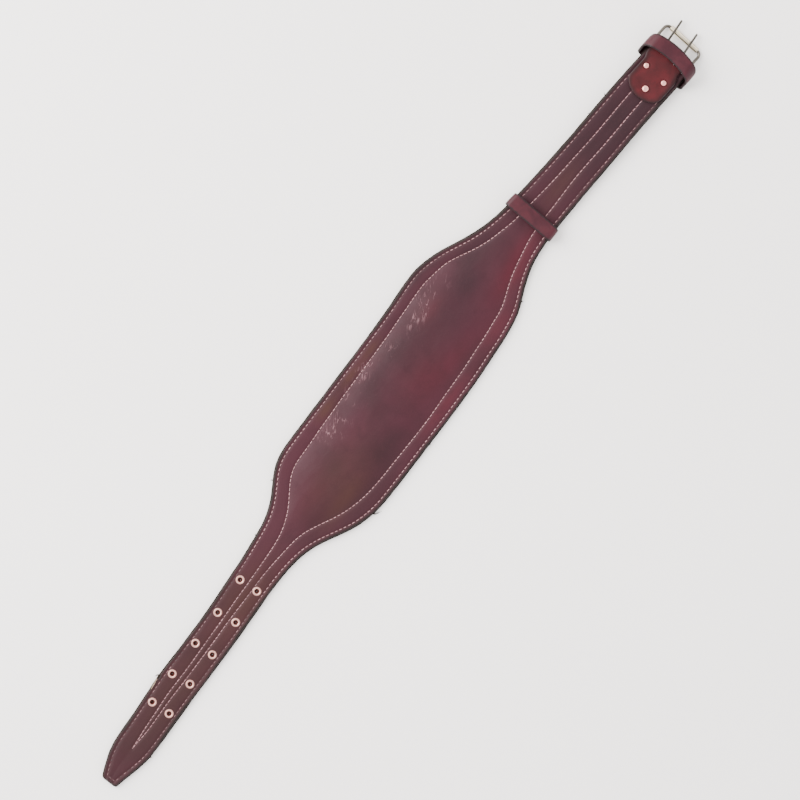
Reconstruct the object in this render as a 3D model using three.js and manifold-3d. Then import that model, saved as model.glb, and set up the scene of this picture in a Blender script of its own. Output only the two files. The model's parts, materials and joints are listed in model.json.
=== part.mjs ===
// Weightlifting belt lying flat: a holed tongue, a wide padded back and a strap with a double-prong roller buckle.
// Millimetres. X runs along the belt from the tongue's tip to the buckle, Y across it and Z up.
import * as THREE from 'three';
import { mergeVertices } from 'three/addons/utils/BufferGeometryUtils.js';
import Module from 'manifold-3d';

const wasm = await Module();
wasm.setup();

// Lengths of the belt's five zones, from the tip
const TONGUE_LENGTH = 248;
const FRONT_FLARE_LENGTH = 110;
const BACK_LENGTH = 184;
const REAR_FLARE_LENGTH = 101;
const STRAP_LENGTH = 195;

// Widths of the tongue, the back and the strap that carries the buckle
const TONGUE_WIDTH = 38;
const BACK_WIDTH = 105;
const STRAP_WIDTH = 45.5;

// Leather layers
const FACE_THICKNESS = 3;
const LINING_THICKNESS = 1.6;
const LINING_PROUD = 1;
const LAYER_GAP = 0.3;
const EDGE_ROUND = 0.9;
const PAD_RISE = 5;
const OUTER_STITCH_INSET = 4.2;
const INNER_STITCH_INSET = 16;
const STITCH_DIP = 0.35;
const LEAST_STITCH_SHARE = 0.08;
const SECTION_SPACING = 14;

// Eyelets
const EYELET_PAIRS = 5;
const FIRST_EYELET = 83.7;
const EYELET_PITCH = 34.6;
const ROW_SPACING = 18.8;
const EYELET_RADIUS = 4.2;
const EYELET_BORE_RADIUS = 2.1;
const EYELET_WALL = 0.5;
const EYELET_RIM_HEIGHT = 0.9;
const EYELET_WASHER_RADIUS = 3.9;
const EYELET_WASHER_HEIGHT = 0.7;

// Band keeper, flat round the strap
const BAND_PLACE = 7;
const BAND_BREADTH = 13.4;
const BAND_THICKNESS = 1.7;
const BAND_ROOM = 5.6;
const BAND_CORNER = 4.5;
const BAND_SIDE_NARROWING = 1.2;

// Loop keeper, standing beside the buckle and leaning forward
const LOOP_BREADTH = 14.6;
const LOOP_FLOOR_BREADTH = 11;
const LOOP_THICKNESS = 2.2;
const LOOP_SIDE_GAP = 2.2;
const LOOP_ROOM = 7;
const LOOP_TOP_CORNER = 9;
const LOOP_FLOOR_CORNER = 6;
const LOOP_TOP_PLACE = 4.4;
const LOOP_FLOOR_PLACE = -10;
const LOOP_BOW = 4.4;

// Buckle tab
const TAB_WIDTH = 37.6;
const TAB_LENGTH = 46.9;
const TAB_THICKNESS = 2.4;
const TAB_END_DEPTH = 13;
const TAB_OFFSET = -0.9;
const TAB_SHIFT_START = 17;
const TAB_SHIFT_END = 7;

// Rivets
const RIVET_RADIUS = 3.2;
const RIVET_SHANK_RADIUS = 1.5;
const RIVET_DOME_HEIGHT = 1.5;
const RIVET_CAP_RADIUS = 2.8;
const RIVET_CAP_HEIGHT = 0.9;

// Buckle
const END_YAW = THREE.MathUtils.degToRad(-4.25);
const FRAME_OFFSET = 2;
const FRAME_SIDE_GAP = 0.5;
const FRAME_WIRE_RADIUS = 1.45;
const FRAME_LENGTH = 22.5;
const FRAME_FRONT_CORNER = 4.4;
const FRAME_HEEL_CORNER = 3.2;
const ROLLER_RADIUS = 2.5;
const ROLLER_WALL = 0.7;
const PRONG_RADIUS = 1.1;
const PRONG_LENGTH = 34;
const PRONG_TIP_DROP = 1.3;
const PRONG_YAW = THREE.MathUtils.degToRad(7);
const PRONG_MIDDLE = -0.6;
const EYE_END_ANGLE = -8;
const RUNNING_GAP = 0.4;
const SEAT_GAP = 0.3;
const SLOT_GAP = 1.1;

// How far a cutter runs past what it cuts
const CUT_MARGIN = 1;

// Facets
const ROUND_SIDES = 12;
const WIRE_SIDES = 8;
const PRONG_STEPS = 32;
const EYE_STEPS = 14;
const CORNER_STEPS = 5;

const LEATHER = { roughness: 0.5, metalness: 0 };
const METAL = { roughness: 0.28, metalness: 1 };
const MATERIALS = {
  face: new THREE.MeshStandardMaterial({ color: 0x663c43, ...LEATHER }),
  lining: new THREE.MeshStandardMaterial({ color: 0x2c2828, roughness: 0.95, metalness: 0 }),
  tab: new THREE.MeshStandardMaterial({ color: 0x7b3a3a, ...LEATHER }),
  keeper: new THREE.MeshStandardMaterial({ color: 0x73414b, ...LEATHER }),
  nickel: new THREE.MeshStandardMaterial({ color: 0xd9d2c8, ...METAL }),
};

const ZONE_LENGTHS = {
  tongue: TONGUE_LENGTH,
  frontFlare: FRONT_FLARE_LENGTH,
  back: BACK_LENGTH,
  rearFlare: REAR_FLARE_LENGTH,
  strap: STRAP_LENGTH,
};
const ZONE_STARTS = {};
let beltLength = 0;
for (const [zone, length] of Object.entries(ZONE_LENGTHS)) {
  ZONE_STARTS[zone] = beltLength;
  beltLength += length;
}

// Sections of the outline. along is a share of the zone's length. tongue, back and strap are shares of those three
// widths, which add up to the width there. sway moves the middle to +Y, as a share of the back's width.
const OUTLINE = [
  { zone: 'tongue', along: 0.00, tongue: 0.40, back: 0.00, strap: 0.00, sway: -0.081 },
  { zone: 'tongue', along: 0.02, tongue: 0.48, back: 0.00, strap: 0.00, sway: -0.074 },
  { zone: 'tongue', along: 0.09, tongue: 0.77, back: 0.00, strap: 0.00, sway: -0.062 },
  { zone: 'tongue', along: 0.13, tongue: 0.88, back: 0.00, strap: 0.00, sway: -0.062 },
  { zone: 'tongue', along: 0.17, tongue: 0.94, back: 0.00, strap: 0.00, sway: -0.063 },
  { zone: 'tongue', along: 0.28, tongue: 0.96, back: 0.00, strap: 0.00, sway: -0.055 },
  { zone: 'tongue', along: 0.43, tongue: 1.00, back: 0.00, strap: 0.00, sway: -0.035 },
  { zone: 'tongue', along: 0.65, tongue: 0.99, back: 0.00, strap: 0.00, sway: -0.029 },
  { zone: 'tongue', along: 0.94, tongue: 1.02, back: 0.00, strap: 0.00, sway: 0.006 },
  { zone: 'frontFlare', along: 0.12, tongue: 0.93, back: 0.07, strap: 0.00, sway: 0.017 },
  { zone: 'frontFlare', along: 0.29, tongue: 0.84, back: 0.16, strap: 0.00, sway: 0.016 },
  { zone: 'frontFlare', along: 0.46, tongue: 0.61, back: 0.39, strap: 0.00, sway: 0.012 },
  { zone: 'frontFlare', along: 0.62, tongue: 0.30, back: 0.70, strap: 0.00, sway: 0.020 },
  { zone: 'frontFlare', along: 0.72, tongue: 0.14, back: 0.86, strap: 0.00, sway: 0.022 },
  { zone: 'frontFlare', along: 0.83, tongue: 0.06, back: 0.94, strap: 0.00, sway: 0.016 },
  { zone: 'back', along: 0.00, tongue: 0.00, back: 0.99, strap: 0.00, sway: 0.005 },
  { zone: 'back', along: 0.52, tongue: 0.00, back: 1.00, strap: 0.00, sway: 0.011 },
  { zone: 'back', along: 0.78, tongue: 0.00, back: 1.00, strap: 0.00, sway: 0.023 },
  { zone: 'back', along: 0.94, tongue: 0.00, back: 0.99, strap: 0.00, sway: 0.043 },
  { zone: 'rearFlare', along: 0.02, tongue: 0.00, back: 0.98, strap: 0.00, sway: 0.047 },
  { zone: 'rearFlare', along: 0.14, tongue: 0.00, back: 0.88, strap: 0.12, sway: 0.043 },
  { zone: 'rearFlare', along: 0.32, tongue: 0.00, back: 0.73, strap: 0.27, sway: 0.034 },
  { zone: 'rearFlare', along: 0.50, tongue: 0.00, back: 0.46, strap: 0.54, sway: 0.034 },
  { zone: 'rearFlare', along: 0.68, tongue: 0.00, back: 0.24, strap: 0.76, sway: 0.031 },
  { zone: 'rearFlare', along: 0.86, tongue: 0.00, back: 0.13, strap: 0.87, sway: 0.021 },
  { zone: 'strap', along: 0.00, tongue: 0.00, back: 0.07, strap: 0.93, sway: 0.014 },
  { zone: 'strap', along: 0.08, tongue: 0.00, back: 0.04, strap: 0.97, sway: 0.006 },
  { zone: 'strap', along: 0.21, tongue: 0.00, back: 0.01, strap: 1.00, sway: -0.009 },
  { zone: 'strap', along: 0.45, tongue: 0.00, back: 0.00, strap: 1.00, sway: -0.034 },
  { zone: 'strap', along: 0.73, tongue: 0.00, back: 0.00, strap: 1.00, sway: -0.057 },
  { zone: 'strap', along: 0.92, tongue: 0.00, back: 0.00, strap: 1.00, sway: -0.081 },
  { zone: 'strap', along: 1.00, tongue: 0.00, back: 0.00, strap: 1.00, sway: -0.092 },
];
const STATIONS = OUTLINE.map((row) => ZONE_STARTS[row.zone] + row.along * ZONE_LENGTHS[row.zone]);
const WIDTHS = OUTLINE.map((row) => row.tongue * TONGUE_WIDTH + row.back * BACK_WIDTH + row.strap * STRAP_WIDTH);
const SWAYS = OUTLINE.map((row) => row.sway * BACK_WIDTH);

// How far each eyelet strays along the belt from its even place, as shares of the pitch
const EYELET_DRIFT = [
  { pair: 1, high: -0.01, low: 0.02 },
  { pair: 2, high: -0.09, low: -0.02 },
  { pair: 3, high: -0.07, low: -0.04 },
  { pair: 4, high: -0.06, low: 0.02 },
  { pair: 5, high: -0.01, low: 0.02 },
];

// Rivets. back is a share of the tab's length behind the heel bar, across is a share of the tab's half width.
const RIVETS = [
  { name: 'rivet_1', back: 0.78, across: -0.06, size: 1.18 },
  { name: 'rivet_2', back: 0.43, across: 0.66, size: 1.00 },
  { name: 'rivet_3', back: 0.46, across: -0.54, size: 1.00 },
];

const { clamp, lerp, smoothstep } = THREE.MathUtils;

// Smooth curve through a table's rows, which doesn't overshoot between them
function slopeAt(stations, values, index) {
  if (index === 0 || index === stations.length - 1) {
    return 0;
  }
  const before = (values[index] - values[index - 1]) / (stations[index] - stations[index - 1]);
  const after = (values[index + 1] - values[index]) / (stations[index + 1] - stations[index]);
  return before * after > 0 ? (2 * before * after) / (before + after) : 0;
}

function valueAt(stations, values, x) {
  const last = stations.length - 2;
  const next = stations.findIndex((station) => station > x);
  const index = next < 0 ? last : clamp(next - 1, 0, last);
  const span = stations[index + 1] - stations[index];
  const t = clamp((x - stations[index]) / span, 0, 1);
  const start = slopeAt(stations, values, index) * span;
  const end = slopeAt(stations, values, index + 1) * span;
  const rise = values[index + 1] - values[index];
  return values[index] + t * start + t * t * (3 * rise - 2 * start - end) + t * t * t * (start + end - 2 * rise);
}

function middleAt(x) {
  return valueAt(STATIONS, SWAYS, x);
}

// Edge of the belt on side +1 or -1, moved inward square to the outline
function edgeAt(x, side, inset) {
  const step = 1;
  const edge = (place) => middleAt(place) + (side * valueAt(STATIONS, WIDTHS, place)) / 2;
  const slope = (edge(x + step) - edge(x - step)) / (2 * step);
  return edge(x) - side * inset * Math.hypot(1, slope);
}

// Inner stitch line on side +1 or -1, which keeps to its own side of the middle where the belt is narrow
function innerStitchAt(x, side) {
  const least = LEAST_STITCH_SHARE * valueAt(STATIONS, WIDTHS, x);
  const fromMiddle = side * (edgeAt(x, side, INNER_STITCH_INSET) - middleAt(x));
  return middleAt(x) + side * Math.max(fromMiddle, least);
}

function innerWidthAt(x) {
  return innerStitchAt(x, 1) - innerStitchAt(x, -1);
}

// Height of the foam's crown, which fades out where the inner stitch lines run together
function crownAt(x) {
  const strapRoom = Math.max(STRAP_WIDTH, TONGUE_WIDTH) - 2 * INNER_STITCH_INSET;
  const backRoom = BACK_WIDTH - 2 * INNER_STITCH_INSET;
  return PAD_RISE * clamp((innerWidthAt(x) - strapRoom - LINING_PROUD) / (backRoom - strapRoom), 0, 1);
}

// The lining's underside rises over the band's run and then over the loop's run and the tab's lower ply
const BAND_MIDDLE = ZONE_STARTS.strap + BAND_PLACE;
const BAND_LIFT = BAND_THICKNESS + LAYER_GAP;
const TAB_LIFT = LOOP_THICKNESS + LAYER_GAP + TAB_THICKNESS + LAYER_GAP;
const PRONG_EYE_RADIUS = FRAME_WIRE_RADIUS + RUNNING_GAP + PRONG_RADIUS;
const BAR_SETBACK = PRONG_EYE_RADIUS + PRONG_RADIUS + 3 * RUNNING_GAP;
const BAR_X = beltLength + BAR_SETBACK;
const TAB_START = BAR_X - TAB_LENGTH;

function liftAt(x) {
  const riseStart = ZONE_STARTS.rearFlare + 0.35 * REAR_FLARE_LENGTH;
  const bandBack = BAND_MIDDLE - BAND_BREADTH;
  const bandFront = BAND_MIDDLE + BAND_BREADTH;
  const toBand = BAND_LIFT * smoothstep(x, riseStart, bandBack);
  return toBand + (TAB_LIFT - BAND_LIFT) * smoothstep(x, bandFront, TAB_START - LOOP_BREADTH / 2);
}

function faceFloorAt(x) {
  return liftAt(x) + LINING_THICKNESS + LAYER_GAP;
}

// Places of the cross-sections: each row of the outline, with more between rows that lie far apart
function sectionPlaces(start, end) {
  const places = [start];
  const stops = [...STATIONS.filter((x) => x > start && x < end), end];
  for (const stop of stops) {
    const from = places[places.length - 1];
    const steps = Math.ceil((stop - from) / SECTION_SPACING);
    for (let step = 1; step <= steps; step += 1) {
      places.push(lerp(from, stop, step / steps));
    }
  }
  return places;
}

function signedVolume(positions, indices) {
  const corners = [0, 1, 2].map(() => new THREE.Vector3());
  let volume = 0;
  for (let i = 0; i < indices.length; i += 3) {
    corners.forEach((corner, k) => corner.fromArray(positions, 3 * indices[i + k]));
    volume += corners[0].dot(corners[1].clone().cross(corners[2])) / 6;
  }
  return volume;
}

// Indexed geometry with its faces pointing out
function outward(positions, indices) {
  const turned = [...indices];
  if (signedVolume(positions, indices) < 0) {
    for (let i = 0; i < turned.length; i += 3) {
      [turned[i + 1], turned[i + 2]] = [turned[i + 2], turned[i + 1]];
    }
  }
  const geometry = new THREE.BufferGeometry();
  geometry.setAttribute('position', new THREE.Float32BufferAttribute(positions, 3));
  geometry.setIndex(turned);
  geometry.computeVertexNormals();
  return geometry;
}

// Body lofted through rings of points. A closed body runs back to its first ring, an open one is capped with fans
// from each end ring's last point.
function loft(rings, closed) {
  const count = rings[0].length;
  const indices = [];
  const spans = closed ? rings.length : rings.length - 1;
  for (let ring = 0; ring < spans; ring += 1) {
    const here = ring * count;
    const there = ((ring + 1) % rings.length) * count;
    for (let point = 0; point < count; point += 1) {
      const next = (point + 1) % count;
      indices.push(here + point, here + next, there + next, here + point, there + next, there + point);
    }
  }
  if (!closed) {
    const end = (rings.length - 1) * count;
    for (let point = 0; point < count - 2; point += 1) {
      indices.push(count - 1, point + 1, point);
      indices.push(end + count - 1, end + point, end + point + 1);
    }
  }
  return outward(rings.flat(2), indices);
}

// A three.js geometry with its doubled vertices merged and its faces pointing out
function merged(geometry) {
  const bare = geometry.index ? geometry.toNonIndexed() : geometry.clone();
  bare.deleteAttribute('normal');
  bare.deleteAttribute('uv');
  const joined = mergeVertices(bare, 1e-4);
  const indices = [];
  for (let i = 0; i < joined.index.count; i += 3) {
    const corners = [0, 1, 2].map((k) => joined.index.getX(i + k));
    if (new Set(corners).size === 3) {
      indices.push(...corners);
    }
  }
  return outward(Array.from(joined.attributes.position.array), indices);
}

function solid(geometry) {
  return new wasm.Manifold(new wasm.Mesh({
    numProp: 3,
    vertProperties: new Float32Array(geometry.attributes.position.array),
    triVerts: new Uint32Array(geometry.index.array),
  }));
}

function geometryOf(body) {
  const mesh = body.getMesh();
  return outward(Array.from(mesh.vertProperties), Array.from(mesh.triVerts));
}

// Geometry with other geometries cut out of it
function cut(geometry, cutters) {
  return geometryOf(cutters.reduce((body, cutter) => body.subtract(solid(cutter)), solid(geometry)));
}

// Upright cylinder between two heights
function post(x, y, low, high, radius) {
  const geometry = new THREE.CylinderGeometry(radius, radius, high - low, ROUND_SIDES);
  geometry.rotateX(Math.PI / 2);
  geometry.translate(x, y, (low + high) / 2);
  return merged(geometry);
}

// Body turned round Z from a closed profile of [radius, height] points
function turned(profile) {
  const points = [...profile, profile[0]].map(([radius, height]) => new THREE.Vector2(radius, height));
  const geometry = new THREE.LatheGeometry(points, ROUND_SIDES);
  geometry.rotateX(Math.PI / 2);
  geometry.rotateZ(Math.PI / 2);
  return merged(geometry);
}

function part(name, geometry, material) {
  const mesh = new THREE.Mesh(geometry, material);
  mesh.name = name;
  return mesh;
}

// Places of the eyelets, pair by pair from the tip
function eyeletPlaces() {
  const places = [];
  for (let pair = 0; pair < EYELET_PAIRS; pair += 1) {
    const drift = EYELET_DRIFT[pair % EYELET_DRIFT.length];
    const even = FIRST_EYELET + pair * EYELET_PITCH;
    for (const [side, stray] of [[1, drift.high], [-1, drift.low]]) {
      const x = even + stray * EYELET_PITCH;
      places.push({ x, y: middleAt(x) + (side * ROW_SPACING) / 2 });
    }
  }
  return places;
}

// Rivet places, first in the buckle end's own frame and then on the belt
function rivetPlaces() {
  const turn = { cos: Math.cos(END_YAW), sin: Math.sin(END_YAW) };
  return RIVETS.map((row) => {
    const x = -row.back * TAB_LENGTH;
    const y = TAB_OFFSET + (row.across * TAB_WIDTH) / 2;
    return {
      ...row,
      x,
      y,
      beltX: BAR_X + x * turn.cos - y * turn.sin,
      beltY: middleAt(beltLength) + x * turn.sin + y * turn.cos,
    };
  });
}

// Cross-section of the face: flat below, with a stitched flange on each side of the padded crown
function faceRing(x) {
  const floor = faceFloorAt(x);
  const top = floor + FACE_THICKNESS;
  const middle = middleAt(x);
  const crown = crownAt(x);
  const sidePoints = (side) => {
    const edge = edgeAt(x, side, LINING_PROUD);
    const inner = innerStitchAt(x, side);
    const outer = edgeAt(x, side, OUTER_STITCH_INSET);
    return [
      [x, edge, floor],
      [x, edge, top - EDGE_ROUND],
      [x, edge - side * EDGE_ROUND, top],
      [x, outer, top - STITCH_DIP],
      [x, inner, top - STITCH_DIP],
      [x, lerp(inner, middle, 0.22), top + crown * 0.55],
      [x, lerp(inner, middle, 0.55), top + crown * 0.9],
    ];
  };
  return [...sidePoints(1), [x, middle, top + crown], ...sidePoints(-1).reverse(), [x, middle, floor]];
}

function makeFace() {
  const body = loft(sectionPlaces(LINING_PROUD, beltLength).map(faceRing), false);
  const height = FACE_THICKNESS + PAD_RISE + CUT_MARGIN;
  const cutters = [];
  for (const { x, y } of eyeletPlaces()) {
    const floor = faceFloorAt(x);
    cutters.push(post(x, y, floor - CUT_MARGIN, floor + height, EYELET_BORE_RADIUS + EYELET_WALL + SEAT_GAP));
  }
  for (const { beltX, beltY } of rivetPlaces()) {
    const floor = faceFloorAt(beltX);
    cutters.push(post(beltX, beltY, floor - CUT_MARGIN, floor + height, RIVET_SHANK_RADIUS + SEAT_GAP));
  }
  return part('face_leather', cut(body, cutters), MATERIALS.face);
}

// Cross-section of the lining, with softened edges
function liningRing(x) {
  const floor = liftAt(x);
  const soft = LINING_THICKNESS / 3;
  const high = edgeAt(x, 1, 0);
  const low = edgeAt(x, -1, 0);
  return [
    [x, high - soft, floor],
    [x, high, floor + soft],
    [x, high - soft, floor + LINING_THICKNESS],
    [x, low + soft, floor + LINING_THICKNESS],
    [x, low, floor + soft],
    [x, low + soft, floor],
    [x, middleAt(x), floor],
  ];
}

function makeLining() {
  const body = loft(sectionPlaces(0, beltLength).map(liningRing), false);
  const cutters = [];
  for (const { x, y } of eyeletPlaces()) {
    const floor = liftAt(x);
    const under = floor - CUT_MARGIN;
    const top = floor + LINING_THICKNESS + CUT_MARGIN;
    cutters.push(post(x, y, under, top, EYELET_BORE_RADIUS + EYELET_WALL + SEAT_GAP));
    cutters.push(post(x, y, under, floor + EYELET_WASHER_HEIGHT + SEAT_GAP, EYELET_WASHER_RADIUS + SEAT_GAP));
  }
  for (const { beltX, beltY } of rivetPlaces()) {
    const floor = liftAt(beltX);
    const top = floor + LINING_THICKNESS + CUT_MARGIN;
    cutters.push(post(beltX, beltY, floor - CUT_MARGIN, top, RIVET_SHANK_RADIUS + SEAT_GAP));
  }
  return part('lining', cut(body, cutters), MATERIALS.lining);
}

// Eyelet: a rolled rim on the face, a barrel through both layers and a washer let into the lining
function eyeletProfile(seat) {
  const barrel = EYELET_BORE_RADIUS + EYELET_WALL;
  const crest = lerp(barrel, EYELET_RADIUS, 0.5);
  return [
    [EYELET_BORE_RADIUS, 0],
    [EYELET_WASHER_RADIUS, 0],
    [EYELET_WASHER_RADIUS, EYELET_WASHER_HEIGHT],
    [barrel, EYELET_WASHER_HEIGHT],
    [barrel, seat],
    [EYELET_RADIUS, seat],
    [EYELET_RADIUS, seat + EYELET_RIM_HEIGHT * 0.45],
    [crest, seat + EYELET_RIM_HEIGHT],
    [EYELET_BORE_RADIUS, seat + EYELET_RIM_HEIGHT * 0.5],
  ];
}

function makeEyelets() {
  return eyeletPlaces().map(({ x, y }, index) => {
    const floor = liftAt(x);
    const seat = faceFloorAt(x) - floor + FACE_THICKNESS - STITCH_DIP + SEAT_GAP;
    const eyelet = part(`eyelet_${index + 1}`, turned(eyeletProfile(seat)), MATERIALS.nickel);
    eyelet.position.set(x, y, floor);
    return eyelet;
  });
}

// Points once round a strap, with the outward direction at each: four rounded corners and a few points on top
function wrapPath(half, height, topCorner, floorCorner) {
  const path = [];
  const corners = [
    { side: 1, up: 1, from: 0 },
    { side: -1, up: 1, from: 90 },
    { side: -1, up: -1, from: 180 },
    { side: 1, up: -1, from: 270 },
  ];
  for (const { side, up, from } of corners) {
    const radius = up > 0 ? topCorner : floorCorner;
    const centreZ = up > 0 ? height - radius : radius;
    for (let step = 0; step <= CORNER_STEPS; step += 1) {
      const angle = THREE.MathUtils.degToRad(from + (90 * step) / CORNER_STEPS);
      const out = [Math.cos(angle), Math.sin(angle)];
      path.push({ y: side * (half - radius) + radius * out[0], z: centreZ + radius * out[1], out });
    }
    if (side > 0 && up > 0) {
      for (const share of [0.5, 0, -0.5]) {
        path.push({ y: share * (half - radius), z: height, out: [0, 1] });
      }
    }
  }
  return path;
}

// Closed leather band from two such paths, one along its back edge and one along its front edge
function wrapBand(backPath, frontPath, thickness, placeBack, placeFront) {
  const point = (place, sample, inward) => {
    const [x, y] = place(sample);
    return [x, y + sample.y - inward * sample.out[0], sample.z - inward * sample.out[1]];
  };
  const rings = backPath.map((back, index) => {
    const front = frontPath[index];
    return [
      point(placeBack, back, 0),
      point(placeFront, front, 0),
      point(placeFront, front, thickness),
      point(placeBack, back, thickness),
    ];
  });
  return loft(rings, true);
}

// Band keeper: it follows the strap's edges, lies square to the strap and narrows a little down its sides
function makeKeeperBand() {
  const strapTop = faceFloorAt(BAND_MIDDLE) + FACE_THICKNESS + crownAt(BAND_MIDDLE - BAND_BREADTH / 2);
  const height = strapTop + BAND_ROOM + BAND_THICKNESS;
  const reach = LAYER_GAP + BAND_THICKNESS;
  const backX = BAND_MIDDLE - BAND_BREADTH / 2;
  const frontX = BAND_MIDDLE + BAND_BREADTH / 2;
  const path = (x) => wrapPath(valueAt(STATIONS, WIDTHS, x) / 2 + reach, height, BAND_CORNER, BAND_CORNER / 2);
  const slope = (middleAt(frontX) - middleAt(backX)) / BAND_BREADTH;
  const narrowing = (sample) => BAND_SIDE_NARROWING * Math.abs(sample.out[0]);
  const geometry = wrapBand(
    path(backX),
    path(frontX),
    BAND_THICKNESS,
    (sample) => [backX - slope * sample.y + narrowing(sample), middleAt(backX)],
    (sample) => [frontX - slope * sample.y - narrowing(sample), middleAt(frontX)],
  );
  return part('keeper_band', geometry, MATERIALS.keeper);
}

// Heights of the tab's two plies about the heel bar
const PLY_ROOM = LINING_THICKNESS + FACE_THICKNESS + 3 * LAYER_GAP;
const FOLD_INNER = PLY_ROOM / 2;
const FOLD_OUTER = FOLD_INNER + TAB_THICKNESS;
const BAR_Z = TAB_LIFT - LAYER_GAP + FOLD_INNER;
const FRAME_INNER_WIDTH = TAB_WIDTH + 2 * FRAME_SIDE_GAP;

// Loop keeper: its top run stands ahead of the narrower run under the strap and bows forward in the middle
function makeKeeperLoop() {
  const half = STRAP_WIDTH / 2 + LOOP_SIDE_GAP + LOOP_THICKNESS;
  const height = BAR_Z + FOLD_OUTER + LOOP_ROOM + LOOP_THICKNESS;
  const path = wrapPath(half, height, LOOP_TOP_CORNER, LOOP_FLOOR_CORNER);
  const edge = (sample, side) => {
    const rise = smoothstep(sample.z, 0, height);
    const middle = lerp(LOOP_FLOOR_PLACE, LOOP_TOP_PLACE, rise) - LOOP_BOW * rise * (sample.y / half) ** 2;
    return middle + (side * lerp(LOOP_FLOOR_BREADTH, LOOP_BREADTH, rise)) / 2;
  };
  const geometry = wrapBand(
    path,
    path,
    LOOP_THICKNESS,
    (sample) => [edge(sample, -1), 0],
    (sample) => [edge(sample, 1), 0],
  );
  return part('keeper_loop', geometry, MATERIALS.keeper);
}

// Side view of the tab: two plies joined by a round fold ahead of the heel bar
function tabProfile() {
  const shape = new THREE.Shape();
  shape.moveTo(-TAB_LENGTH, FOLD_INNER);
  shape.lineTo(-TAB_LENGTH, FOLD_OUTER);
  shape.lineTo(0, FOLD_OUTER);
  shape.absarc(0, 0, FOLD_OUTER, Math.PI / 2, -Math.PI / 2, true);
  shape.lineTo(-TAB_LENGTH, -FOLD_OUTER);
  shape.lineTo(-TAB_LENGTH, -FOLD_INNER);
  shape.lineTo(0, -FOLD_INNER);
  shape.absarc(0, 0, FOLD_INNER, -Math.PI / 2, Math.PI / 2, false);
  shape.closePath();
  return shape;
}

// Plan view of the tab: a rounded end, straight sides and a shift sideways to the frame's middle at the fold
function tabPlan() {
  const half = TAB_WIDTH / 2;
  const endX = -TAB_LENGTH + TAB_END_DEPTH;
  const shape = new THREE.Shape();
  shape.moveTo(FOLD_OUTER + CUT_MARGIN, FRAME_OFFSET - half);
  shape.lineTo(FOLD_OUTER + CUT_MARGIN, FRAME_OFFSET + half);
  shape.lineTo(-TAB_SHIFT_END, FRAME_OFFSET + half);
  shape.lineTo(-TAB_SHIFT_START, TAB_OFFSET + half);
  shape.absellipse(endX, TAB_OFFSET, TAB_END_DEPTH, half, Math.PI / 2, 1.5 * Math.PI, false, 0);
  shape.lineTo(-TAB_SHIFT_START, TAB_OFFSET - half);
  shape.lineTo(-TAB_SHIFT_END, FRAME_OFFSET - half);
  shape.closePath();
  return shape;
}

function prongPlaces() {
  const middle = FRAME_OFFSET + PRONG_MIDDLE;
  return [
    { name: 'prong_left', y: middle + ROW_SPACING / 2 },
    { name: 'prong_right', y: middle - ROW_SPACING / 2 },
  ];
}

function makeTab() {
  const reach = 2 * TAB_WIDTH;
  const depth = 4 * FOLD_OUTER;
  const profile = new THREE.ExtrudeGeometry(tabProfile(), { depth: reach, bevelEnabled: false, curveSegments: 10 });
  profile.rotateX(Math.PI / 2);
  profile.translate(0, reach / 2, 0);
  const plan = new THREE.ExtrudeGeometry(tabPlan(), { depth, bevelEnabled: false, curveSegments: 14 });
  plan.translate(0, 0, -depth / 2);
  const body = geometryOf(solid(merged(profile)).intersect(solid(merged(plan))));
  const slotBack = BAR_SETBACK;
  const slotLength = slotBack + FOLD_OUTER + CUT_MARGIN;
  const slotWidth = 2 * (PRONG_RADIUS + SLOT_GAP);
  const cutters = prongPlaces().map(({ y }) => {
    const slot = new THREE.BoxGeometry(slotLength, slotWidth, depth);
    slot.translate(slotLength / 2 - slotBack, y, 0);
    return merged(slot);
  });
  for (const { x, y, size } of rivetPlaces()) {
    const capRadius = RIVET_CAP_RADIUS * size + SEAT_GAP;
    const under = -FOLD_OUTER - CUT_MARGIN;
    cutters.push(post(x, y, under, FOLD_OUTER + CUT_MARGIN, RIVET_SHANK_RADIUS + SEAT_GAP));
    cutters.push(post(x, y, under, RIVET_CAP_HEIGHT + SEAT_GAP - FOLD_OUTER, capRadius));
  }
  return part('tab', cut(body, cutters), MATERIALS.tab);
}

// Rivet: a dimpled dome on the tab, a shank through everything and a cap let into the lower ply
function makeRivets() {
  return rivetPlaces().map(({ name, x, y, size }) => {
    const radius = RIVET_RADIUS * size;
    const seat = FOLD_OUTER + SEAT_GAP;
    const profile = [
      [0, -FOLD_OUTER],
      [RIVET_CAP_RADIUS * size, -FOLD_OUTER],
      [RIVET_CAP_RADIUS * size, RIVET_CAP_HEIGHT - FOLD_OUTER],
      [RIVET_SHANK_RADIUS, RIVET_CAP_HEIGHT - FOLD_OUTER],
      [RIVET_SHANK_RADIUS, seat],
      [radius, seat],
      [radius * 0.92, seat + RIVET_DOME_HEIGHT * 0.5],
      [radius * 0.6, seat + RIVET_DOME_HEIGHT],
      [0, seat + RIVET_DOME_HEIGHT * 0.75],
    ];
    const rivet = part(name, turned(profile), MATERIALS.nickel);
    rivet.position.set(x, y, 0);
    return rivet;
  });
}

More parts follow.
